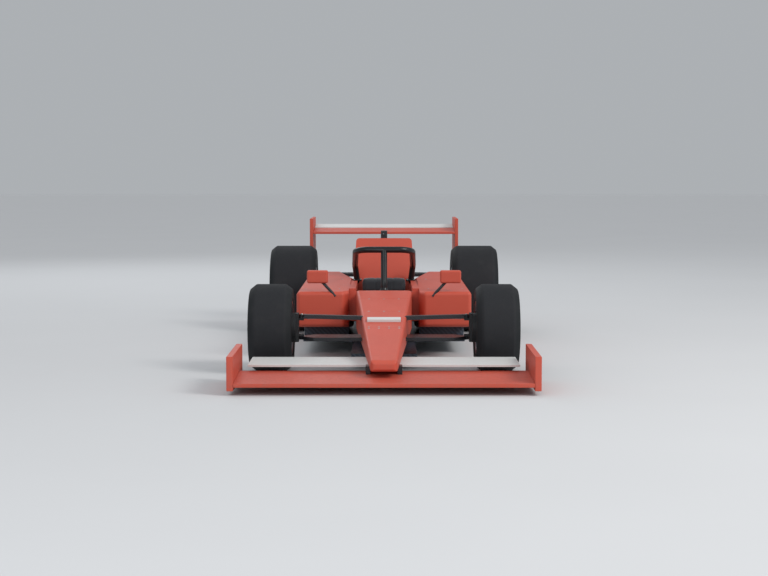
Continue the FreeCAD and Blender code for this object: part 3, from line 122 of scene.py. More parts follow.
class Finish:
    """A material being built, and the slot of the record that it belongs to."""

    def __init__(self, name, slot, constants):
        self.material = bpy.data.materials.new(name)
        self.material.use_nodes = True
        self.slot = slot
        self.tree = self.material.node_tree
        self.shader = self.tree.nodes["Principled BSDF"]
        for socket, value in constants.items():
            self.shader.inputs[socket].default_value = value
        self.normal = None

    def node(self, kind, settings, sockets, output=0):
        made = self.tree.nodes.new(kind)
        for name, value in settings.items():
            setattr(made, name, value)
        for key, value in sockets.items():
            if isinstance(value, Amount):
                self.tree.links.new(value.socket, made.inputs[key])
            else:
                made.inputs[key].default_value = value
        return Amount(self, made.outputs[output])

    def feed(self, socket, amount):
        self.tree.links.new(amount.socket, self.shader.inputs[socket])

    def place(self, middle=(0, 0, 0), stretch=(1, 1, 1)):
        """Where a point is on the car, from a middle point and stretched."""
        here = self.node("ShaderNodeTexCoord", {}, {}, "Object")
        moved = self.node("ShaderNodeVectorMath", {"operation": "SUBTRACT"}, {0: here, 1: middle})
        return self.node("ShaderNodeVectorMath", {"operation": "MULTIPLY"}, {0: moved, 1: stretch})

    def split(self, vector):
        parts = self.node("ShaderNodeSeparateXYZ", {}, {0: vector})
        outputs = parts.socket.node.outputs
        return [Amount(self, outputs[i]) for i in range(3)]

    def noise(self, scale, detail=3.0, rough=0.5, stretch=(1, 1, 1)):
        return self.node("ShaderNodeTexNoise", {}, {
            "Vector": self.place(stretch=stretch), "Scale": scale, "Detail": detail,
            "Roughness": rough})

    def cells(self, scale):
        return self.node("ShaderNodeTexVoronoi", {}, {"Vector": self.place(), "Scale": scale})

    def blend(self, share, first, second):
        """One colour to the other, by share."""
        pair = {0: share}
        for key, colour in ((6, first), (7, second)):
            pair[key] = colour if isinstance(colour, Amount) else (*colour, 1.0)
        return self.node("ShaderNodeMix", {"data_type": "RGBA"}, pair, 2)

    def shade(self, colour, amount, spread):
        """A colour made up to spread lighter or darker by an amount round 0.5."""
        dark = [channel * (1 - spread) for channel in colour]
        light = [channel * (1 + spread) for channel in colour]
        return self.blend(amount, dark, light)

    def raised(self, height, depth):
        """A bump of that depth in metres, on top of the bumps before it."""
        sockets = {"Height": height, "Distance": depth}
        if self.normal:
            sockets["Normal"] = self.normal
        self.normal = self.node("ShaderNodeBump", {}, sockets)
        self.feed("Normal", self.normal)


def twill(finish, tow, middle=(0, 0, 0)):
    """Two by two twill on whichever plane a face lies nearest to: shade and height."""
    x, y, z = finish.split(finish.place(middle))
    facing = finish.node("ShaderNodeTexCoord", {}, {}, "Normal")
    nx, ny, nz = [part.size() for part in finish.split(facing)]
    side_on = nx > ny.maths("MAXIMUM", ny, nz)
    level = nz > nx.maths("MAXIMUM", nx, ny)
    across = (x + side_on * (y - x)) / tow
    along = (z + level * (y - z)) / tow
    over = (across.floor() + along.floor()).over(4.0) < 1.5
    round_across = (across.over(1.0) - 0.5).size()
    round_along = (along.over(1.0) - 0.5).size()
    ridge = 1 - (round_along + over * (round_across - round_along)) * 1.6
    return over, ridge


def paint(name, slot, colour, dust):
    """Sprayed two pack paint: faint peel, soft gloss, road dust low down and chips."""
    finish = Finish(name, slot, {"Coat Weight": 0.06, "Coat Roughness": 0.3, "Metallic": 0.0,
                                 "Specular IOR Level": 0.3})
    cloud = finish.noise(2.2, 4.0)
    peel = finish.noise(260.0, 2.0)
    fine = finish.noise(38.0, 5.0, 0.65)
    body = finish.shade(colour, cloud, 0.10)
    y, z = finish.split(finish.place())[1:]
    low = 1 - z.between(0.05, 0.34)
    film = low * fine.between(0.35, 0.85) * dust
    dusty = finish.blend(film, body, (0.16, 0.13, 0.11))
    ahead = 1 - y.between(-2.45, -1.5)
    chip = (finish.cells(120.0) < 0.16) * (finish.noise(9.0) > 0.6) * ahead
    finish.feed("Base Color", finish.blend(chip * 0.7, dusty, (0.30, 0.28, 0.27)))
    streak = finish.noise(14.0, 4.0, 0.7, (1, 0.12, 1))
    finish.feed("Roughness", 0.44 + streak * 0.12 + film * 0.3 + fine * 0.05)
    finish.raised(peel + fine * 0.3 - chip * 2.0, 0.00035)
    return finish


RESIN = {"Coat Weight": 0.15, "Coat Roughness": 0.2, "Specular IOR Level": 0.4}


def composite(name, colour, tow, gloss, lift=0.0):
    """Lacquered carbon cloth: twill under resin, with dust and dull patches."""
    finish = Finish(name, "black_composite", RESIN)
    over, ridge = twill(finish, tow)
    cloud = finish.noise(3.0, 4.0)
    worn = finish.noise(26.0, 5.0, 0.7).between(0.42, 0.8)
    cloth = finish.shade(colour, over * 0.65 + ridge * 0.35, 0.45)
    faded = finish.blend(cloud * 0.2, cloth, (0.03, 0.033, 0.036))
    finish.feed("Base Color", finish.blend(worn * (0.10 + lift), faded, (0.10, 0.095, 0.09)))
    finish.feed("Roughness", gloss + over * 0.07 + worn * 0.18)
    finish.raised(ridge, 0.0002)
    return finish


def satin_black(name):
    """Thick satin lacquer over a tube: brush marks and handling polish."""
    finish = Finish(name, "black_composite", RESIN)
    cloud = finish.noise(5.0, 4.0)
    rub = finish.noise(60.0, 4.0, 0.6, (1, 1, 0.3))
    finish.feed("Base Color", finish.shade((0.006, 0.009, 0.011), cloud, 0.3))
    finish.feed("Roughness", 0.26 + rub * 0.14 + cloud * 0.06)
    finish.raised(finish.noise(340.0, 2.0) + rub * 0.4, 0.00025)
    return finish


def rubber(name, middle, outer):
    """Slick tyre: scrubbed tread, fine marks round the tyre and matt sidewalls."""
    finish = Finish(name, "tyre_rubber", {"Specular IOR Level": 0.2})
    x, y, z = finish.split(finish.place(middle))
    away = (y * y + z * z).maths("SQRT", y * y + z * z)
    tread = away.between(outer - 0.02, outer - 0.004)
    turn = y.maths("ARCTAN2", y, z)
    scuff = finish.noise(30.0, 5.0, 0.7, (6, 1, 1))
    grain = finish.noise(420.0, 3.0, 0.6)
    patch = finish.noise(7.0, 4.0, 0.6)
    lines = (x * 1900.0 + scuff * 3.0).wave() * 0.5 + 0.5
    rings = (away * 1500.0).wave() * 0.5 + 0.5
    ribs = (turn * 180.0).wave() * 0.5 + 0.5
    side = finish.shade((0.015, 0.017, 0.019), rings * 0.3 + patch * 0.7, 0.2)
    worn = finish.shade((0.022, 0.023, 0.026), scuff * 0.7 + lines * 0.3, 0.28)
    dust = patch.between(0.45, 0.8) * 0.10
    clean = finish.blend(tread, side, worn)
    finish.feed("Base Color", finish.blend(dust, clean, (0.09, 0.085, 0.08)))
    finish.feed("Roughness", 0.66 + tread * 0.14 + patch * 0.1 - rings * 0.04)
    band = away.between(outer * 0.60, outer * 0.62) * (1 - away.between(outer * 0.66, outer * 0.68))
    finish.raised(grain * (0.4 + tread) + lines * tread * 0.5 + ribs * band * 0.6, 0.0006)
    return finish


def metal(name, slot, colour, gloss, grain, middle=None, casting=0.0, metallic=1.0):
    """Bare or anodised metal: turned marks round an axle, or a cast or brushed skin."""
    finish = Finish(name, slot, {"Metallic": metallic})
    cloud = finish.noise(6.0, 4.0)
    fine = finish.noise(grain, 4.0, 0.65)
    if middle:
        x, y, z = finish.split(finish.place(middle))
        away = (y * y + z * z).maths("SQRT", y * y + z * z)
        fine = fine * 0.4 + ((away * 2600.0 + x * 1200.0).wave() * 0.3 + 0.3)
    stain = finish.noise(19.0, 5.0, 0.7).between(0.5, 0.85)
    clean = finish.shade(colour, cloud, 0.15)
    finish.feed("Base Color", finish.blend(stain * 0.22, clean, [channel * 0.35 for channel in colour]))
    finish.feed("Roughness", gloss + fine * 0.14 + stain * 0.2)
    finish.raised(fine + finish.noise(150.0, 3.0) * casting, 0.00015 + casting * 0.0006)
    return finish


def cloth(name, colour, thread, slot="seat_cloth"):
    """Woven cover: crossing threads, soft pile and rubbed patches."""
    finish = Finish(name, slot, {"Sheen Weight": 0.35, "Sheen Roughness": 0.5,
                                 "Specular IOR Level": 0.2})
    over, ridge = twill(finish, thread)
    cloud = finish.noise(8.0, 4.0)
    pile = finish.noise(700.0, 3.0, 0.6)
    finish.feed("Base Color", finish.shade(colour, ridge * 0.5 + cloud * 0.3 + pile * 0.2, 0.5))
    finish.feed("Roughness", 0.82 + pile * 0.12)
    finish.raised(ridge + pile * 0.5 + over * 0.2, thread * 0.25)
    return finish


def moulded(name, colour, gloss, slot="black_composite"):
    """Moulded plastic or rubber trim with a fine leather grain."""
    finish = Finish(name, slot, {"Specular IOR Level": 0.45})
    pebble = finish.cells(900.0)
    cloud = finish.noise(12.0, 4.0)
    finish.feed("Base Color", finish.shade(colour, cloud, 0.22))
    finish.feed("Roughness", gloss + cloud * 0.12)
    finish.raised(pebble + finish.noise(300.0) * 0.4, 0.0002)
    return finish


def glassy(name, slot, colour, constants):
    """Clear or silvered glass with wiping marks and specks of dust."""
    finish = Finish(name, slot, constants)
    smear = finish.noise(9.0, 4.0, 0.6, (0.4, 1, 2.5))
    speck = (finish.cells(260.0) < 0.1) * (finish.noise(40.0) > 0.55)
    clean = finish.shade(colour, smear, 0.06)
    finish.feed("Base Color", finish.blend(speck * 0.4, clean, (0.3, 0.29, 0.27)))
    finish.feed("Roughness", 0.03 + smear.between(0.4, 0.9) * 0.08 + speck * 0.4)
    finish.raised(speck, 0.0001)
    return finish


RED = paint("vermilion_paint", "red_paint", (0.52, 0.080, 0.048), 0.3)
WHITE = paint("ivory_paint", "white_paint", (0.58, 0.58, 0.57), 0.12)
CARBON = composite("carbon_twill", (0.013, 0.015, 0.019), 0.006, 0.36)
# dark floor laminate whose base colour also carries painted light: the blue tint and brightness of sky-lit
# shade
SKY_TINTED_UNDERSIDE = composite("floor_laminate", (0.042, 0.056, 0.080), 0.009, 0.42, 0.08)
LACQUER = satin_black("satin_lacquer")
TRIM = moulded("moulded_trim", (0.018, 0.019, 0.021), 0.5)
GRIP_RUBBER = moulded("grip_rubber", (0.022, 0.022, 0.023), 0.62)
SEAT_COVER = cloth("seat_cloth", (0.034, 0.038, 0.044), 0.0022)
WEBBING = cloth("harness_webbing", (0.045, 0.048, 0.055), 0.0016)
CASTING = metal("sand_cast_alloy", "cast_metal", (0.30, 0.31, 0.32), 0.46, 90.0, casting=1.0)
STEEL = metal("brushed_steel", "plain_steel", (0.42, 0.43, 0.44), 0.27, 240.0)
BOLT_STEEL = metal("zinc_plated_steel", "plain_steel", (0.36, 0.37, 0.36), 0.32, 400.0)
SILVER = glassy("mirror_silvering", "mirror_silver", (0.86, 0.88, 0.90), {"Metallic": 1.0})
SCREEN = glassy("dark_screen", "black_composite", (0.010, 0.012, 0.014), {"Coat Weight": 1.0})
LENS = glassy("red_lens", "lamp_red", (0.38, 0.012, 0.012), {"Coat Weight": 1.0})
HEATED = metal("heat_blued_tube", "plain_steel", (0.33, 0.27, 0.22), 0.34, 120.0)


# ---------------------------------------------------------------- modelling
def piece(name, bm, finish, body="chassis", angle=34, outward=True):
    """Modelled faces as a named piece in a finish, riding on a body."""
    if outward:
        bmesh.ops.recalc_face_normals(bm, faces=bm.faces)
    for face in bm.faces:
        face.smooth = True
    mesh = bpy.data.meshes.new(name)
    bm.to_mesh(mesh)
    bm.free()
    if "custom_normal" in mesh.attributes:
        mesh.attributes.remove(mesh.attributes["custom_normal"])
    mesh.set_sharp_from_angle(angle=math.radians(angle))
    mesh.materials.clear()
    mesh.materials.append(finish.material)
    made = bpy.data.objects.new(name, mesh)
    bpy.context.scene.collection.objects.link(made)
    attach(made, body)
    return made


def rounded(bm, geometry, width, segments, affect="EDGES"):
    """Edges or corners rounded to a width, less where they lie close together."""
    return bmesh.ops.bevel(bm, geom=geometry, offset=width, affect=affect, segments=segments,
                           profile=0.5, clamp_overlap=True, material=-1)


def only(kind, parts):
    """The vertices, or the edges, among some geometry."""
    return [part for part in parts if isinstance(part, kind)]


def shell(node):
    """A merged copy of a sub-part's skin, with its flat faces whole."""
    bm = bmesh.new()
    bm.from_mesh(frame["nodes"][node].data)
    bmesh.ops.remove_doubles(bm, verts=bm.verts, dist=0.00002)
    bmesh.ops.dissolve_limit(bm, angle_limit=math.radians(0.3), verts=bm.verts, edges=bm.edges)
    return bm


def eased(node, width, finish, angle=32, work=None):
    """A sub-part's own shape with its hard edges rounded, standing for it."""
    bm = shell(node)
    if work:
        work(bm)
    hard = [edge for edge in bm.edges
            if edge.is_manifold and edge.calc_face_angle(0.0) > math.radians(angle)]
    if hard:
        rounded(bm, hard, width, 2)
    made = piece(node + "_skin", bm, finish, frame["nodes"][node]["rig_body"], outward=False)
    steady = made.modifiers.new("flat faces stay flat", "WEIGHTED_NORMAL")
    steady.keep_sharp = True
    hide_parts(node)
    return made


def joint(bm, at, facing, wanted, width=0.0035, depth=0.002):
    """A panel joint: where a plane crosses the wanted faces, a fine V pressed into the skin."""
    faces = [face for face in bm.faces if wanted(face)]
    edges = list(dict.fromkeys(edge for face in faces for edge in face.edges))
    verts = list(dict.fromkeys(vert for face in faces for vert in face.verts))
    crossed = bmesh.ops.bisect_plane(bm, geom=faces + edges + verts, dist=0.000001, plane_co=at,
                                     plane_no=facing)
    line = only(bmesh.types.BMEdge, crossed["geom_cut"])
    if not line:
        return
    strip = rounded(bm, line, width / 2, 2)
    bm.normal_update()
    for vert in strip["verts"]:
        if abs((vert.co - at).dot(facing)) < 0.00002:
            vert.co -= vert.normal * depth


def upright_to(axis):
    """A way square to an axis."""
    return Z if abs(axis.z) < 0.5 else X


def turned(profile, at, axis=X, steps=96, closed=True, soft=0.0):
    """Rows of (along, radius) spun about an axis through a point."""
    bm = bmesh.new()
    out = (upright_to(axis) - axis * upright_to(axis).dot(axis)).normalized()
    verts = [bm.verts.new(at + axis * along + out * radius) for along, radius in profile]
    following = verts[1:] + (verts[:1] if closed else [])
    for first, second in zip(verts, following):
        bm.edges.new((first, second))
    if soft:
        rounded(bm, [vert for vert in verts if len(vert.link_edges) == 2], soft, 3, "VERTICES")
    bmesh.ops.spin(bm, geom=bm.verts[:] + bm.edges[:], cent=at, axis=axis, angle=FULL_TURN,
                   steps=steps, use_merge=True)
    bmesh.ops.remove_doubles(bm, verts=bm.verts, dist=0.00001)
    return bm


def mixed(*parts):
    """Several bmeshes as one."""
    whole = parts[0]
    for part in parts[1:]:
        spare = bpy.data.meshes.new("spare")
        part.to_mesh(spare)
        part.free()
        whole.from_mesh(spare)
        bpy.data.meshes.remove(spare)
    return whole


def chunk(at, size, soft, turn=None, taper=1.0):
    """A block with rounded edges, narrower at its top by taper."""
    bm = bmesh.new()
    bmesh.ops.create_cube(bm, size=1.0)
    for vert in bm.verts:
        if vert.co.z > 0:
            vert.co.x *= taper
            vert.co.y *= taper
    bmesh.ops.scale(bm, vec=size, verts=bm.verts)
    rounded(bm, bm.edges, soft, 3)
    bmesh.ops.transform(bm, matrix=Matrix.Translation(at) @ (turn or Matrix.Identity(4)), verts=bm.verts)
    return bm


def standing(point, way):
    """The place of something that stands on a point and looks a way."""
    return Matrix.Translation(point) @ Z.rotation_difference(way).to_matrix().to_4x4()


# columns: sides (0 for the stud's own), radius at its foot and top as shares of the stud's radius,
# start and end as shares of its height
STUD_PARTS = ((20, 1.5, 1.4, -0.25, 0.3),   # washer
              (0, 1.0, 0.9, 0.3, 1.0))      # head


def studs(name, spots, finish, body="chassis", radius=0.007, height=0.004, sides=6):
    """Bolt heads on washers: each spot is a point on a skin and the way out of it."""
    bm = bmesh.new()
    for point, way in spots:
        for corners, low, high, foot, top in STUD_PARTS:
            middle = Matrix.Translation(Z * (top + foot) / 2 * height)
            bmesh.ops.create_cone(bm, cap_ends=True, segments=corners or sides, radius1=radius * low,
                                  radius2=radius * high, depth=(top - foot) * height,
                                  matrix=standing(point, way) @ middle)
    return piece(name, bm, finish, body)


SKINS = {}


def struck(node, start, way):
    """Where a line from start meets a sub-part's skin, and the skin's outward way there."""
    if node not in SKINS:
        mesh = frame["nodes"][node].data
        SKINS[node] = BVHTree.FromPolygons([v.co for v in mesh.vertices],
                                           [p.vertices for p in mesh.polygons])
    point, normal = SKINS[node].ray_cast(Vector(start), Vector(way))[:2]
    return point, -normal if normal.dot(Vector(way)) > 0 else normal


def pipe(name, points, radius, finish, body="chassis", hollow=False):
    """A bent tube through the points of a smooth curve."""
    curve = bpy.data.curves.new(name, "CURVE")
    curve.dimensions = "3D"
    run = curve.splines.new("NURBS")
    run.points.add(len(points) - 1)
    for spot, point in zip(run.points, points):
        spot.co = (*point, 1.0)
    run.order_u = 3
    run.use_endpoint_u = True
    curve.bevel_depth = radius
    curve.bevel_resolution = 5
    curve.resolution_u = 10
    curve.use_fill_caps = not hollow
    line = bpy.data.objects.new(name, curve)
    bpy.context.scene.collection.objects.link(line)
    bm = bmesh.new()
    mesh = bpy.data.meshes.new_from_object(line)
    bm.from_mesh(mesh)
    bpy.data.objects.remove(line)
    if hollow:
        bmesh.ops.recalc_face_normals(bm, faces=bm.faces)
        bmesh.ops.solidify(bm, geom=bm.faces[:], thickness=0.003)
    bmesh.ops.remove_doubles(bm, verts=bm.verts, dist=0.00001)
    return piece(name, bm, finish, body)


def strap(name, points, width, finish, across=X, thick=0.003):
    """Flat webbing through the points, thickened and softened."""
    bm = bmesh.new()
    half = across * width / 2
    inner = half * 0.86
    spot = Vector(points[0])
    row = [bm.verts.new(spot + step) for step in (-half, -inner, inner, half)]
    edges = [bm.edges.new(pair) for pair in zip(row, row[1:])]
    for point in points[1:]:
        grown = bmesh.ops.extrude_edge_only(bm, edges=edges)["geom"]
        bmesh.ops.translate(bm, vec=Vector(point) - spot, verts=only(bmesh.types.BMVert, grown))
        edges = [edge for edge in only(bmesh.types.BMEdge, grown)
                 if all(vert in grown for vert in edge.verts)]
        spot = Vector(point)
    bmesh.ops.recalc_face_normals(bm, faces=bm.faces)
    bmesh.ops.solidify(bm, geom=bm.faces[:], thickness=thick)
    made = piece(name, bm, finish)
    smooth = made.modifiers.new("soft webbing", "SUBSURF")
    smooth.levels = smooth.render_levels = 2
    return made


# ---------------------------------------------------------------- wheels
# columns: name, side
WHEELS = (("front_left", 1), ("front_right", -1), ("rear_left", 1), ("rear_right", -1))
BARREL = 0.178          # rim barrel's radius
DISC_INSET = 0.055      # wheel disc inside the tyre's outer side
BULGE = 0.003           # sidewall bulge of a tyre that carries its load
PEG_CIRCLE = 0.05772    # drive pegs from the axle
PEGS = 10               # drive pegs in a wheel
VALVE_TURN = 0.32       # valve from the top of the wheel, radians


def tyre_profile(half, outer):
    """One half of a slick tyre's section, bead to tread, then the same mirrored."""
    rows = [(half - 0.021, BARREL + 0.0015), (half - 0.018, BARREL + 0.008),
            (half - 0.0125, BARREL + 0.014), (half - 0.0065, BARREL + 0.023),
            (half - 0.0045, BARREL + 0.029), (half - 0.0025, BARREL + 0.031),
            (half - 0.0025, BARREL + 0.036), (half - 0.0040, BARREL + 0.038),
            (half - 0.0012, outer * 0.78), (half - 0.0002, outer * 0.82),
            (half, outer - 0.054), (half - 0.001, outer - 0.044), (half - 0.004, outer - 0.036),
            (half - 0.007, outer - 0.0325), (half - 0.045, outer - 0.0028),
            (half - 0.050, outer - 0.0008), (half - 0.058, outer - 0.0001), (half * 0.4, outer)]
    return rows + [(-across, radius) for across, radius in reversed(rows)]


def rim_lip(half):
    """Section of the rim's rolled outer lip."""
    return [(half - 0.024, BARREL - 0.009), (half - 0.022, BARREL), (half - 0.0165, BARREL + 0.002),
            (half - 0.013, BARREL + 0.0105), (half - 0.0085, BARREL + 0.0115),
            (half - 0.006, BARREL + 0.008), (half - 0.009, BARREL - 0.002),
            (half - 0.016, BARREL - 0.0095)]


def wheel_nut(hub, side, face):
    """Centre nut on its seat, with the collar that locks it."""
    out = X * side
    seat_ring = [(face - 0.001, 0.0), (face + 0.004, 0.0), (face + 0.004, 0.050),
                 (face + 0.002, 0.056), (face - 0.001, 0.057)]
    ring = turned([(side * a, r) for a, r in seat_ring], hub, closed=False, steps=48, soft=0.0008)
    nut = bmesh.new()
    bmesh.ops.create_cone(nut, cap_ends=True, segments=6, radius1=0.040, radius2=0.036, depth=0.030,
                          matrix=standing(hub + out * (face + 0.018), out))
    rounded(nut, nut.edges, 0.0025, 2)
    lock = [(face + 0.028, 0.0), (face + 0.039, 0.0), (face + 0.042, 0.006), (face + 0.042, 0.021),
            (face + 0.039, 0.025), (face + 0.028, 0.026)]
    collar = turned([(side * a, r) for a, r in lock], hub, closed=False, steps=40, soft=0.001)
    return mixed(ring, nut, collar)


def round_axle(turn, away):
    """A way out from the axle, turned from straight up."""
    return Matrix.Rotation(turn, 3, X) @ Vector((0, 0, away))


for wheel, side in WHEELS:
    body = wheel + "_wheel"
    low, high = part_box(wheel + "_tyre")
    hub = (low + high) / 2
    half = (high.x - low.x) / 2 + BULGE
    outer = (high.z - low.z) / 2
    face = half - DISC_INSET
    out = X * side
    tyre_finish = rubber(wheel + "_rubber", hub, outer)
    tyre = piece(wheel + "_slick", turned(tyre_profile(half, outer), hub, steps=160),
                 tyre_finish, body, angle=60)
    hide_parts(wheel + "_tyre")
    alloy = metal(wheel + "_alloy", "rim_metal", (0.20, 0.215, 0.235), 0.3, 300.0, hub)
    eased(wheel + "_rim", 0.0022, alloy, angle=40)
    lip = rim_lip(half)
    lips = mixed(turned(lip, hub, soft=0.001), turned([(-a, r) for a, r in lip], hub, soft=0.001))
    piece(wheel + "_rim_lips", lips, alloy, body)
    anodised = metal(wheel + "_nut_alloy", "rim_metal", (0.30, 0.31, 0.33), 0.25, 300.0, hub)
    piece(wheel + "_wheel_nut", wheel_nut(hub, side, face), anodised, body)
    pegs = [(hub + out * face + round_axle(FULL_TURN * i / PEGS, PEG_CIRCLE), out) for i in range(PEGS)]
    studs(wheel + "_drive_pegs", pegs, BOLT_STEEL, body, 0.0045, 0.006, 12)
    valve_at = hub + out * (half - 0.030) + round_axle(VALVE_TURN, BARREL - 0.014)
    valve = turned([(0.0, 0.0), (0.026, 0.0), (0.027, 0.002), (0.0265, 0.0042), (0.012, 0.0044),
                    (0.011, 0.0030), (0.0, 0.0048)], valve_at, out, 20, False)
    piece(wheel + "_valve", valve, TRIM, body)

# ---------------------------------------------------------------- bodywork
nose_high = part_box("nose_cone")[1]
cover_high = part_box("engine_cover")[1]


HATCH_JOINTS = (-1.18, -0.80)       # along the car
HATCH_BACK = -0.57                  # the joints of the hatch stop short of the scuttle's rear
COVER_JOINTS = (0.67, 1.34)
POD_JOINTS = (-0.40, 0.40)
POD_SIDE_JOINT = 0.10
FLUSH_SCREW = {"radius": 0.0055, "height": 0.0012, "sides": 16}
COVER_SCREW = {"radius": 0.006, "height": 0.0014, "sides": 16}
WING_BOLT = {"radius": 0.006, "height": 0.002, "sides": 16}
DOWN = (0, 0, -1)


def facing_up(face):
    """A face that looks mostly upwards."""
    return face.normal.z > 0.7


def scuttle_joints(bm):
    """The front and rear joints of the hatch over the pedals."""
    for y in HATCH_JOINTS:
        joint(bm, Vector((0, y, 0)), Y,
              lambda face: facing_up(face) and face.calc_center_median().y < HATCH_BACK)


def cover_joints(bm):
    """The removable top half of the engine cover."""
    for y in COVER_JOINTS:
        joint(bm, Vector((0, y, 0)), Y, lambda face: abs(face.normal.y) < 0.7 and face.normal.z > -0.5)


def pod_joints(bm):
    """A sidepod's top panel and its side panel."""
    for y in POD_JOINTS:
        joint(bm, Vector((0, y, 0)), Y, facing_up)
    joint(bm, Vector((0, POD_SIDE_JOINT, 0)), Y,
          lambda face: abs(face.normal.x) > 0.8 and abs(face.calc_center_median().x) > 0.6)


eased("nose_cone", 0.002, RED)
eased("monocoque", 0.004, RED, work=scuttle_joints)
eased("nose_panel", 0.002, WHITE)
eased("engine_cover", 0.003, RED, work=cover_joints)
for name in ("sidepod_left", "sidepod_right"):
    eased(name, 0.003, RED, work=pod_joints)
for name in ("front_wing_main_plane", "rear_wing_main_plane"):
    eased(name, 0.004, RED)
for name in ("front_wing_endplates", "rear_wing_endplates"):
    eased(name, 0.005, RED)
for name in ("front_wing_flaps", "rear_wing_flap"):
    eased(name, 0.0045, WHITE)
eased("mirror_housings", 0.002, RED)
for name in ("nose_pylons", "rear_wing_pylon", "mirror_stalks", "camera_pod", "front_suspension_arms",
             "rear_suspension_arms", "rear_crash_structure"):
    eased(name, 0.003, CARBON)
for name in ("floor", "diffuser", "skid_plank", "tub_keel"):
    eased(name, 0.0025, SKY_TINTED_UNDERSIDE)
for name in ("front_upright_left", "front_upright_right", "rear_uprights"):
    eased(name, 0.002, TRIM)
for name in ("engine_block", "gearbox"):
    eased(name, 0.006, CASTING)
eased("halo", 0.003, LACQUER)
eased("driveshafts", 0.001, STEEL)
eased("steering_rack", 0.001, STEEL)
eased("rear_tow_eye", 0.0015, BOLT_STEEL)
eased("mirror_glass", 0.0008, SILVER)


def painted_shade_wall(side):
    """Painted shade: a dark wall set in the shaded wedge between a sidepod and the floor."""
    return chunk(Vector((side * 0.448, -0.142, 0.166)), (0.352, 0.018, 0.094), 0.004,
                 Matrix.Rotation(-0.10, 4, X))


# painted shade: dark blue-grey panels stand in the shaded wedges under the sidepods
piece("painted_shade_panels", mixed(painted_shade_wall(-1), painted_shade_wall(1)), SKY_TINTED_UNDERSIDE)


def nose_screws():
    """Flush screws each side of the nose joint."""
    spots = []
    for y in (nose_high.y - 0.018, nose_high.y + 0.018):
        node = "nose_cone" if y < nose_high.y else "monocoque"
        spots += [struck(node, (x, y, 1.0), DOWN) for x in (-0.105, -0.035, 0.035, 0.105)]
        spots += [struck(node, (side, y, 0.26), (-side, 0, 0)) for side in (-1, 1)]
    return spots


studs("nose_joint_screws", nose_screws(), BOLT_STEEL, **FLUSH_SCREW)
hatch = [struck("monocoque", (x, y, 1.0), DOWN) for x in (-0.11, 0.0, 0.11) for y in (-1.165, -0.815)]
studs("scuttle_screws", hatch, BOLT_STEEL, **FLUSH_SCREW)
cover_spots = [struck("engine_cover", (side, y, z), (-side, 0, 0))
               for side in (-1, 1) for y in (0.65, 0.69, 1.32, 1.36) for z in (0.56, 0.62, 0.68)]
studs("cover_screws", [spot for spot in cover_spots if spot[0]], BOLT_STEEL, **COVER_SCREW)
pod_spots = [struck("sidepod_" + name, (side * x, y, 1.0), DOWN)
             for name, side in (("left", 1), ("right", -1))
             for x in (0.34, 0.47, 0.60) for y in (-0.38, 0.38, 0.42)]
studs("sidepod_screws", pod_spots, BOLT_STEEL, **FLUSH_SCREW)
front_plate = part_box("front_wing_endplates")[1]
plane_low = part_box("front_wing_main_plane")[0]
PLANE_SLOPE = 0.052     # the front plane's middle rises this much along its chord
wing_bolts = [(Vector((side * front_plate.x, y, plane_low.z + 0.014 + (y - plane_low.y) * PLANE_SLOPE)),
               X * side) for side in (-1, 1) for y in (-2.50, -2.38, -2.26, -2.14)]
studs("front_wing_bolts", wing_bolts, BOLT_STEEL, **WING_BOLT)
rear_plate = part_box("rear_wing_endplates")[1]
# columns: along the car, up
REAR_BOLTS = ((2.02, 0.861), (2.14, 0.869), (2.27, 0.878), (2.38, 0.893), (2.49, 0.904))
rear_bolts = [(Vector((side * rear_plate.x, y, z)), X * side) for side in (-1, 1) for y, z in REAR_BOLTS]
studs("rear_wing_bolts", rear_bolts, BOLT_STEEL, **WING_BOLT)

# a flush filler cap low on the left of the engine cover
cap_at, cap_way = struck("engine_cover", (1, 0.76, 0.64), (-1, 0, 0))
filler = turned([(-0.002, 0.034), (0.0015, 0.034), (0.002, 0.032), (0.002, 0.027), (-0.001, 0.026),
                 (-0.001, 0.024), (0.0025, 0.023), (0.003, 0.012), (0.003, 0.0)], cap_at, cap_way, 40, False)
piece("filler_cap", filler, BOLT_STEEL)

# ---------------------------------------------------------------- camera pod
pod_box_low, pod_box_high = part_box("camera_pod")
lens_at = Vector((0, pod_box_low.y, (cover_high.z + pod_box_high.z) / 2))
lens = turned([(0.0, 0.013), (0.003, 0.0125), (0.003, 0.0105), (0.001, 0.010), (0.0018, 0.006),
               (0.0024, 0.0)], lens_at, -Y, 32, False)
piece("camera_lens", lens, SCREEN)

# ---------------------------------------------------------------- cockpit
seat_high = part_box("seat")[1]


CLOTH_FRAMES = 20       # length of each cushion's simulation
PAD_PRESSURE = 4.0      # air pressure that fills a cushion
PAD_GRID = 0.007        # mesh size of a cushion
SEAM_HALF = 0.005       # half width of a stitched channel
SEAM_DEPTH = 0.006      # depth of a stitched channel


def swell(pad, cap, pressure):
    """Fill a pad with air pressure as cloth, and hold each point within cap of its start."""
    scene = bpy.context.scene
    start = [vert.co.copy() for vert in pad.data.vertices]
    air = pad.modifiers.new("air", "CLOTH")
    air.settings.use_pressure = True
    air.settings.uniform_pressure_force = pressure
    air.settings.quality = 5
    air.settings.effector_weights.gravity = 0.0
    air.settings.mass = 0.3
    air.settings.tension_stiffness = air.settings.compression_stiffness = 15.0
    air.point_cache.frame_start = 1
    air.point_cache.frame_end = CLOTH_FRAMES
    for count in range(1, CLOTH_FRAMES + 1):
        scene.frame_set(count)
    swollen = pad.evaluated_get(bpy.context.evaluated_depsgraph_get()).data
    for vert, blown, rest in zip(pad.data.vertices, swollen.vertices, start):
        moved = blown.co - rest
        vert.co = rest + (moved if moved.length <= cap else moved * cap / moved.length)
    pad.modifiers.remove(air)
    scene.frame_set(1)


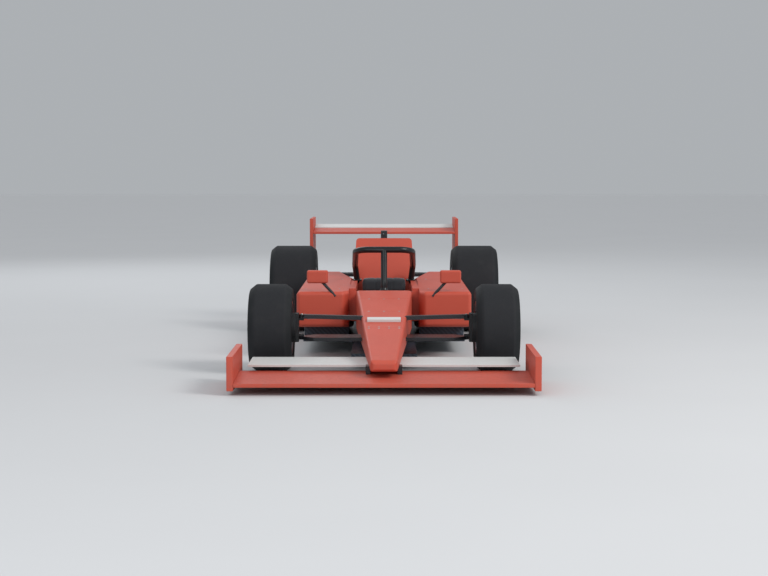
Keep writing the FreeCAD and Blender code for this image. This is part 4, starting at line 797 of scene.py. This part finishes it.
def cushion(name, outline, half, finish, cap=0.012, channels=()):
    """A stuffed pad: a side outline drawn across the car, remeshed, swollen and seamed."""
    bm = bmesh.new()
    verts = [bm.verts.new((-half, y, z)) for y, z in outline]
    face = bm.faces.new(verts)
    grown = bmesh.ops.extrude_face_region(bm, geom=[face])["geom"]
    bmesh.ops.translate(bm, vec=(2 * half, 0, 0), verts=only(bmesh.types.BMVert, grown))
    bmesh.ops.recalc_face_normals(bm, faces=bm.faces)
    rounded(bm, bm.edges, 0.014, 3)
    pad = piece(name, bm, finish, angle=80)
    grid = pad.modifiers.new("grid", "REMESH")
    grid.mode = "VOXEL"
    grid.voxel_size = PAD_GRID
    pad.data = bpy.data.meshes.new_from_object(pad.evaluated_get(bpy.context.evaluated_depsgraph_get()))
    pad.modifiers.clear()
    swell(pad, cap, PAD_PRESSURE)
    normals = [vert.normal.copy() for vert in pad.data.vertices]
    for vert, normal in zip(pad.data.vertices, normals):
        press = sum(math.exp(-((vert.co - at).dot(way) / SEAM_HALF) ** 2) for at, way in channels)
        vert.co -= normal * min(press, 1.0) * SEAM_DEPTH
    for face in pad.data.polygons:
        face.use_smooth = True
    smooth = pad.modifiers.new("soft skin", "SUBSURF")
    smooth.levels = smooth.render_levels = 1
    return pad


def seam(across=0.0, along=0.0, up=0.0, way=X):
    """A stitched channel: the plane through a point, square to a way."""
    return Vector((across, along, up)), way


half = seat_high.x - 0.012
base = [(-0.045, 0.305), (-0.045, 0.378), (0.125, 0.330), (0.300, 0.372), (0.330, 0.300), (0.200, 0.268)]
back = [(0.338, 0.262), (0.330, 0.390), (0.352, 0.432), (0.455, 0.432), (0.455, 0.262)]
head = [(0.362, 0.440), (0.362, 0.547), (0.457, 0.547), (0.457, 0.440)]
base_pad = cushion("seat_base_pad", base, half, SEAT_COVER,
                   channels=(seam(-0.09), seam(0.09), seam(along=0.05, way=Y), seam(along=0.20, way=Y)))
cushion("seat_back_pad", back, half, SEAT_COVER, channels=(seam(-0.09), seam(0.09), seam(up=0.36, way=Z)))
cushion("headrest_pad", head, half + 0.006, SEAT_COVER, cap=0.005, channels=(seam(-0.07), seam(0.07)))
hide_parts("seat")

BELT_WIDTH = 0.046
for side, name in ((1, "left"), (-1, "right")):
    x = side * 0.068
    strap("shoulder_strap_" + name, [
        (x, 0.374, 0.440), (x, 0.352, 0.440), (x, 0.330, 0.431), (x * 0.95, 0.306, 0.405),
        (x * 0.85, 0.268, 0.389), (x * 0.6, 0.190, 0.366), (x * 0.36, 0.128, 0.354),
        (x * 0.24, 0.104, 0.354)], BELT_WIDTH, WEBBING)
    hip = Vector((0.45 * side, -0.85, -0.1)).normalized() * side
    strap("lap_strap_" + name, [
        (side * 0.162, 0.262, 0.380), (side * 0.120, 0.205, 0.374), (side * 0.070, 0.140, 0.358),
        (side * 0.018, 0.092, 0.355)], BELT_WIDTH, WEBBING, across=hip)
strap("crotch_strap", [(0, -0.030, 0.393), (0, 0.010, 0.379), (0, 0.050, 0.364), (0, 0.082, 0.355)], 0.044,
      WEBBING)
buckle_at = Vector((0, 0.096, 0.356))
buckle = turned([(0.0, 0.0), (0.0, 0.030), (0.010, 0.030), (0.013, 0.027), (0.013, 0.020), (0.016, 0.018),
                 (0.017, 0.0)], buckle_at, Vector((0, 0.12, 1)).normalized(), 40, False)
piece("harness_buckle", buckle, BOLT_STEEL)

# steering wheel: grips, face plate, screen and controls in the wheel's own leaning frame
eased("steering_wheel", 0.004, CARBON)
head_at = Vector((0, -0.215, 0.434))                      # middle of the steering wheel
lean = Matrix.Rotation(math.atan2(0.074, 0.897), 4, X)    # its column falls 74 mm in 897

WHEEL_FACE = 0.017      # the wheel's face from its middle


def on_wheel(x, up, back=0.0):
    """A point of the steering wheel's face: across, up and towards the driver."""
    return head_at + (lean @ Vector((x, WHEEL_FACE + back, up)).to_4d()).to_3d()


to_driver = (lean @ Vector((0, 1, 0, 0))).to_3d()
grips = [chunk(on_wheel(side * 0.113, 0.0, -0.017), (0.036, 0.050, 0.098), 0.014, lean) for side in (-1, 1)]
piece("steering_grips", mixed(*grips), GRIP_RUBBER, "steering")
piece("steering_face_plate", chunk(on_wheel(0, 0.0, 0.002), (0.118, 0.008, 0.104), 0.003, lean), CARBON,
      "steering")
piece("steering_screen", chunk(on_wheel(0, 0.020, 0.006), (0.078, 0.004, 0.046), 0.0015, lean), SCREEN,
      "steering")
# columns: across, up, radius
BUTTONS = ((-0.049, 0.040, 0.0045), (0.049, 0.040, 0.0045), (-0.049, 0.022, 0.0045), (0.049, 0.022, 0.0045),
           (-0.049, 0.004, 0.0045), (0.049, 0.004, 0.0045), (-0.040, -0.022, 0.010), (0.040, -0.022, 0.010),
           (0.0, -0.024, 0.011), (-0.020, -0.042, 0.0045), (0.020, -0.042, 0.0045))
knobs = [turned([(0.0, radius * 1.15), (0.003, radius * 1.1), (0.004, radius), (0.009, radius * 0.92),
                 (0.010, radius * 0.8), (0.010, 0.0)], on_wheel(x, up, 0.006), to_driver, 24, False)
         for x, up, radius in BUTTONS]
piece("steering_controls", mixed(*knobs), TRIM, "steering")
paddles = [chunk(on_wheel(side * 0.078, 0.006, -0.046), (0.052, 0.004, 0.060), 0.0018, lean)
           for side in (-1, 1)]
piece("shift_paddles", mixed(*paddles), CARBON, "steering")
boss = turned([(-0.022, 0.032), (-0.017, 0.032), (-0.017, 0.026), (-0.060, 0.020), (-0.060, 0.014)],
              on_wheel(0, 0, -0.017), to_driver, 40)
piece("quick_release_boss", boss, STEEL, "steering")

# ---------------------------------------------------------------- halo mounts
tub_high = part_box("monocoque")[1]
HALO_FOOT = (0.218, 0.488)      # across and along, rear feet
HALO_PILLAR = (0, -0.372, 0.499)
mounts = []
mount_bolts = []
for side in (-1, 1):
    foot = Vector((side * HALO_FOOT[0], HALO_FOOT[1], tub_high.z + 0.004))
    mounts.append(chunk(foot, (0.074, 0.084, 0.010), 0.004))
    mount_bolts += [(foot + Vector((dx, dy, 0.004)), Z) for dx in (-0.028, 0.028) for dy in (-0.030, 0.030)]
piece("halo_rear_mounts", mixed(*mounts), LACQUER)
collar = turned([(0.0, 0.026), (0.0, 0.038), (0.006, 0.038), (0.016, 0.028), (0.030, 0.0245), (0.030, 0.023)],
                Vector(HALO_PILLAR), Z, 48)
piece("halo_pillar_collar", collar, LACQUER)
studs("halo_mount_bolts", mount_bolts, BOLT_STEEL, radius=0.006, height=0.006)

# ---------------------------------------------------------------- engine and tail
REAR_AXLE = 1.63        # along the car
gear_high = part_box("gearbox")[1]
for side in (-1, 1):
    for i, y in enumerate((0.62, 0.73, 0.84)):
        pipe("exhaust_primary_%s_%d" % ("left" if side > 0 else "right", i + 1), [
            (side * 0.186, y, 0.400), (side * 0.235, y, 0.405), (side * 0.262, y + 0.05, 0.39),
            (side * 0.262, 0.98, 0.385 - i * 0.004), (side * 0.225, 1.10, 0.40),
            (side * 0.190, 1.22, 0.44)], 0.019, HEATED)
tail_at = Vector((0, 1.70, 0.596))
tail_way = Vector((0, 1, 0.05)).normalized()
tail = turned([(0.0, 0.052), (0.20, 0.055), (0.202, 0.0555), (0.202, 0.0525), (0.199, 0.052), (0.0, 0.049)],
              tail_at, tail_way, 64)
plug = turned([(0.02, 0.0), (0.02, 0.0505), (0.03, 0.0505), (0.03, 0.0)], tail_at, tail_way, 48, False)
piece("exhaust_tailpipe", mixed(tail, plug), HEATED)
flange = [(Vector((x, gear_high.y + 0.0005, z)), Y) for x in (-0.076, 0.076)
          for z in (0.23, 0.31, 0.40, 0.49)]
studs("gearbox_rear_bolts", flange, BOLT_STEEL, radius=0.007, height=0.006)
ribs = []
for y in (1.10, 1.24, 1.38, 1.76, 1.86):
    for side in (-1, 1):
        point, way = struck("gearbox", (side, y, 0.36), (-side, 0, 0))
        turn = Matrix.Rotation(-side * 0.053, 4, Z)
        ribs.append(chunk(point, (0.016, 0.012, 0.22), 0.004, turn))
piece("gearbox_ribs", mixed(*ribs), CASTING)


def boot_profile(folds=5):
    """Section of a pleated rubber boot, wide end first."""
    rows = [(0.0, 0.046)]
    for fold in range(folds):
        rows += [(0.006 + fold * 0.012, 0.046 - fold * 0.004),
                 (0.012 + fold * 0.012, 0.038 - fold * 0.004)]
    return rows + [(0.070, 0.023), (0.078, 0.0225), (0.078, 0.0195), (0.0, 0.0195)]


bellows = []
for side in (-1, 1):
    for start, way in ((side * 0.118, 1), (side * 0.526, -1)):
        bellows.append(turned([(way * side * a, r) for a, r in boot_profile()],
                              Vector((start, REAR_AXLE, 0.378)), X, 40, soft=0.0012))
piece("driveshaft_boots", mixed(*bellows), GRIP_RUBBER)

lamp_low, lamp_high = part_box("rear_light")
eased("rear_light", 0.004, TRIM)
lamp_at = Vector((0, lamp_high.y, (lamp_low.z + lamp_high.z) / 2))
piece("rear_lamp_lens", chunk(lamp_at, (0.084, 0.008, 0.048), 0.003), LENS)
domes = bmesh.new()
for row in range(4):
    for column in range(8):
        across = (column - 3.5) * 0.0096
        up = (row - 1.5) * 0.0106
        spot = lamp_at + Vector((across, 0.004, up))
        bmesh.ops.create_uvsphere(domes, u_segments=10, v_segments=6, radius=0.0036,
                                  matrix=Matrix.Translation(spot))
piece("rear_lamp_domes", domes, LENS)

# ---------------------------------------------------------------- suspension joints
# cap heights: over the upper and the lower arm
PIN_CAPS = (0.405, 0.249)
pins = [(Vector((side * 0.588, -1.270, z)), Z) for side in (-1, 1) for z in PIN_CAPS]
studs("steering_pin_caps", pins, BOLT_STEEL, radius=0.009, height=0.004)
inner = [(Vector((side * 0.150, REAR_AXLE + y, z)), Z)
         for side in (-1, 1) for y in (-0.1232, 0.1232) for z in (0.514, 0.284)]
studs("rear_arm_bolts", inner, BOLT_STEEL, radius=0.009, height=0.006)
skids = [(Vector((x, y, 0.068)), -Z) for y in (-1.14, 0.2, 1.34) for x in (-0.09, 0.09)]
studs("plank_skid_buttons", skids, STEEL, radius=0.016, height=0.0015, sides=24)

# ---------------------------------------------------------------- light, floor and camera
def lamp(name, at, aim, size, power, colour):
    """A soft box hung over the car."""
    data = bpy.data.lights.new(name, "AREA")
    data.shape = "RECTANGLE"
    data.size, data.size_y = size
    data.energy = power
    data.color = colour
    hung = bpy.data.objects.new(name, data)
    hung.location = at
    hung.rotation_euler = (Vector(aim) - Vector(at)).to_track_quat("-Z", "Y").to_euler()
    bpy.context.scene.collection.objects.link(hung)


lamp("key_box", (9.8, -8.0, 9.5), (0, -0.4, 0.3), (5.0, 5.0), 1150, (1.0, 0.98, 0.95))
lamp("fill_box", (-3.0, -12.0, 4.5), (0, 0, 0.3), (6.0, 4.0), 180, (0.92, 0.96, 1.0))
lamp("rear_box", (-4.0, 10.0, 7.0), (0, 0.5, 0.4), (7.0, 5.0), 220, (0.95, 0.98, 1.0))

PALE = (0.415, 0.435, 0.455)            # backdrop
FLOOR_COLOUR = (0.56, 0.565, 0.575)
FLOOR_HALF = 80.0
floor_mesh = bpy.data.meshes.new("studio_floor")
ground = bmesh.new()
bmesh.ops.create_grid(ground, x_segments=1, y_segments=1, size=FLOOR_HALF)
ground.to_mesh(floor_mesh)
ground.free()
studio_floor = bpy.data.objects.new("studio_floor", floor_mesh)
bpy.context.scene.collection.objects.link(studio_floor)
floor_finish = Finish("studio_floor", "", {"Roughness": 0.9, "Specular IOR Level": 0.1})
patch = floor_finish.noise(0.6, 3.0)
floor_finish.feed("Base Color", floor_finish.shade(FLOOR_COLOUR, patch, 0.02))
floor_mesh.materials.append(floor_finish.material)

# the dome lights the car; the backdrop shows behind it and in its gloss
DOME_COLOUR = (0.94, 0.97, 1.0)
DOME_STRENGTH = 0.77
world = bpy.data.worlds.new("studio_air")
world.use_nodes = True
bpy.context.scene.world = world
air = world.node_tree
paths = air.nodes.new("ShaderNodeLightPath")
plain = air.nodes.new("ShaderNodeBackground")
plain.inputs["Color"].default_value = (*PALE, 1)
plain.inputs["Strength"].default_value = 1.0
dome = air.nodes["Background"]
dome.inputs["Color"].default_value = (*DOME_COLOUR, 1)
dome.inputs["Strength"].default_value = DOME_STRENGTH
choose = air.nodes.new("ShaderNodeMixShader")
seen = air.nodes.new("ShaderNodeMath")
seen.operation = "MAXIMUM"
air.links.new(paths.outputs["Is Camera Ray"], seen.inputs[0])
air.links.new(paths.outputs["Is Glossy Ray"], seen.inputs[1])
air.links.new(seen.outputs[0], choose.inputs[0])
air.links.new(dome.outputs[0], choose.inputs[1])
air.links.new(plain.outputs[0], choose.inputs[2])
air.links.new(choose.outputs[0], air.nodes["World Output"].inputs[0])

CAMERA_AT = (0.0, -12.63, 1.43)
LOOK_DOWN = 4.218       # degrees below level
camera_data = bpy.data.cameras.new("studio_camera")
camera_data.lens = 75.0
camera_data.sensor_width = 36.0
camera_data.clip_end = 400.0
camera = bpy.data.objects.new("studio_camera", camera_data)
camera.location = CAMERA_AT
camera.rotation_euler = (math.radians(90.0 - LOOK_DOWN), 0.0, 0.0)
bpy.context.scene.collection.objects.link(camera)
bpy.context.scene.camera = camera
bpy.context.scene.view_settings.view_transform = "Standard"
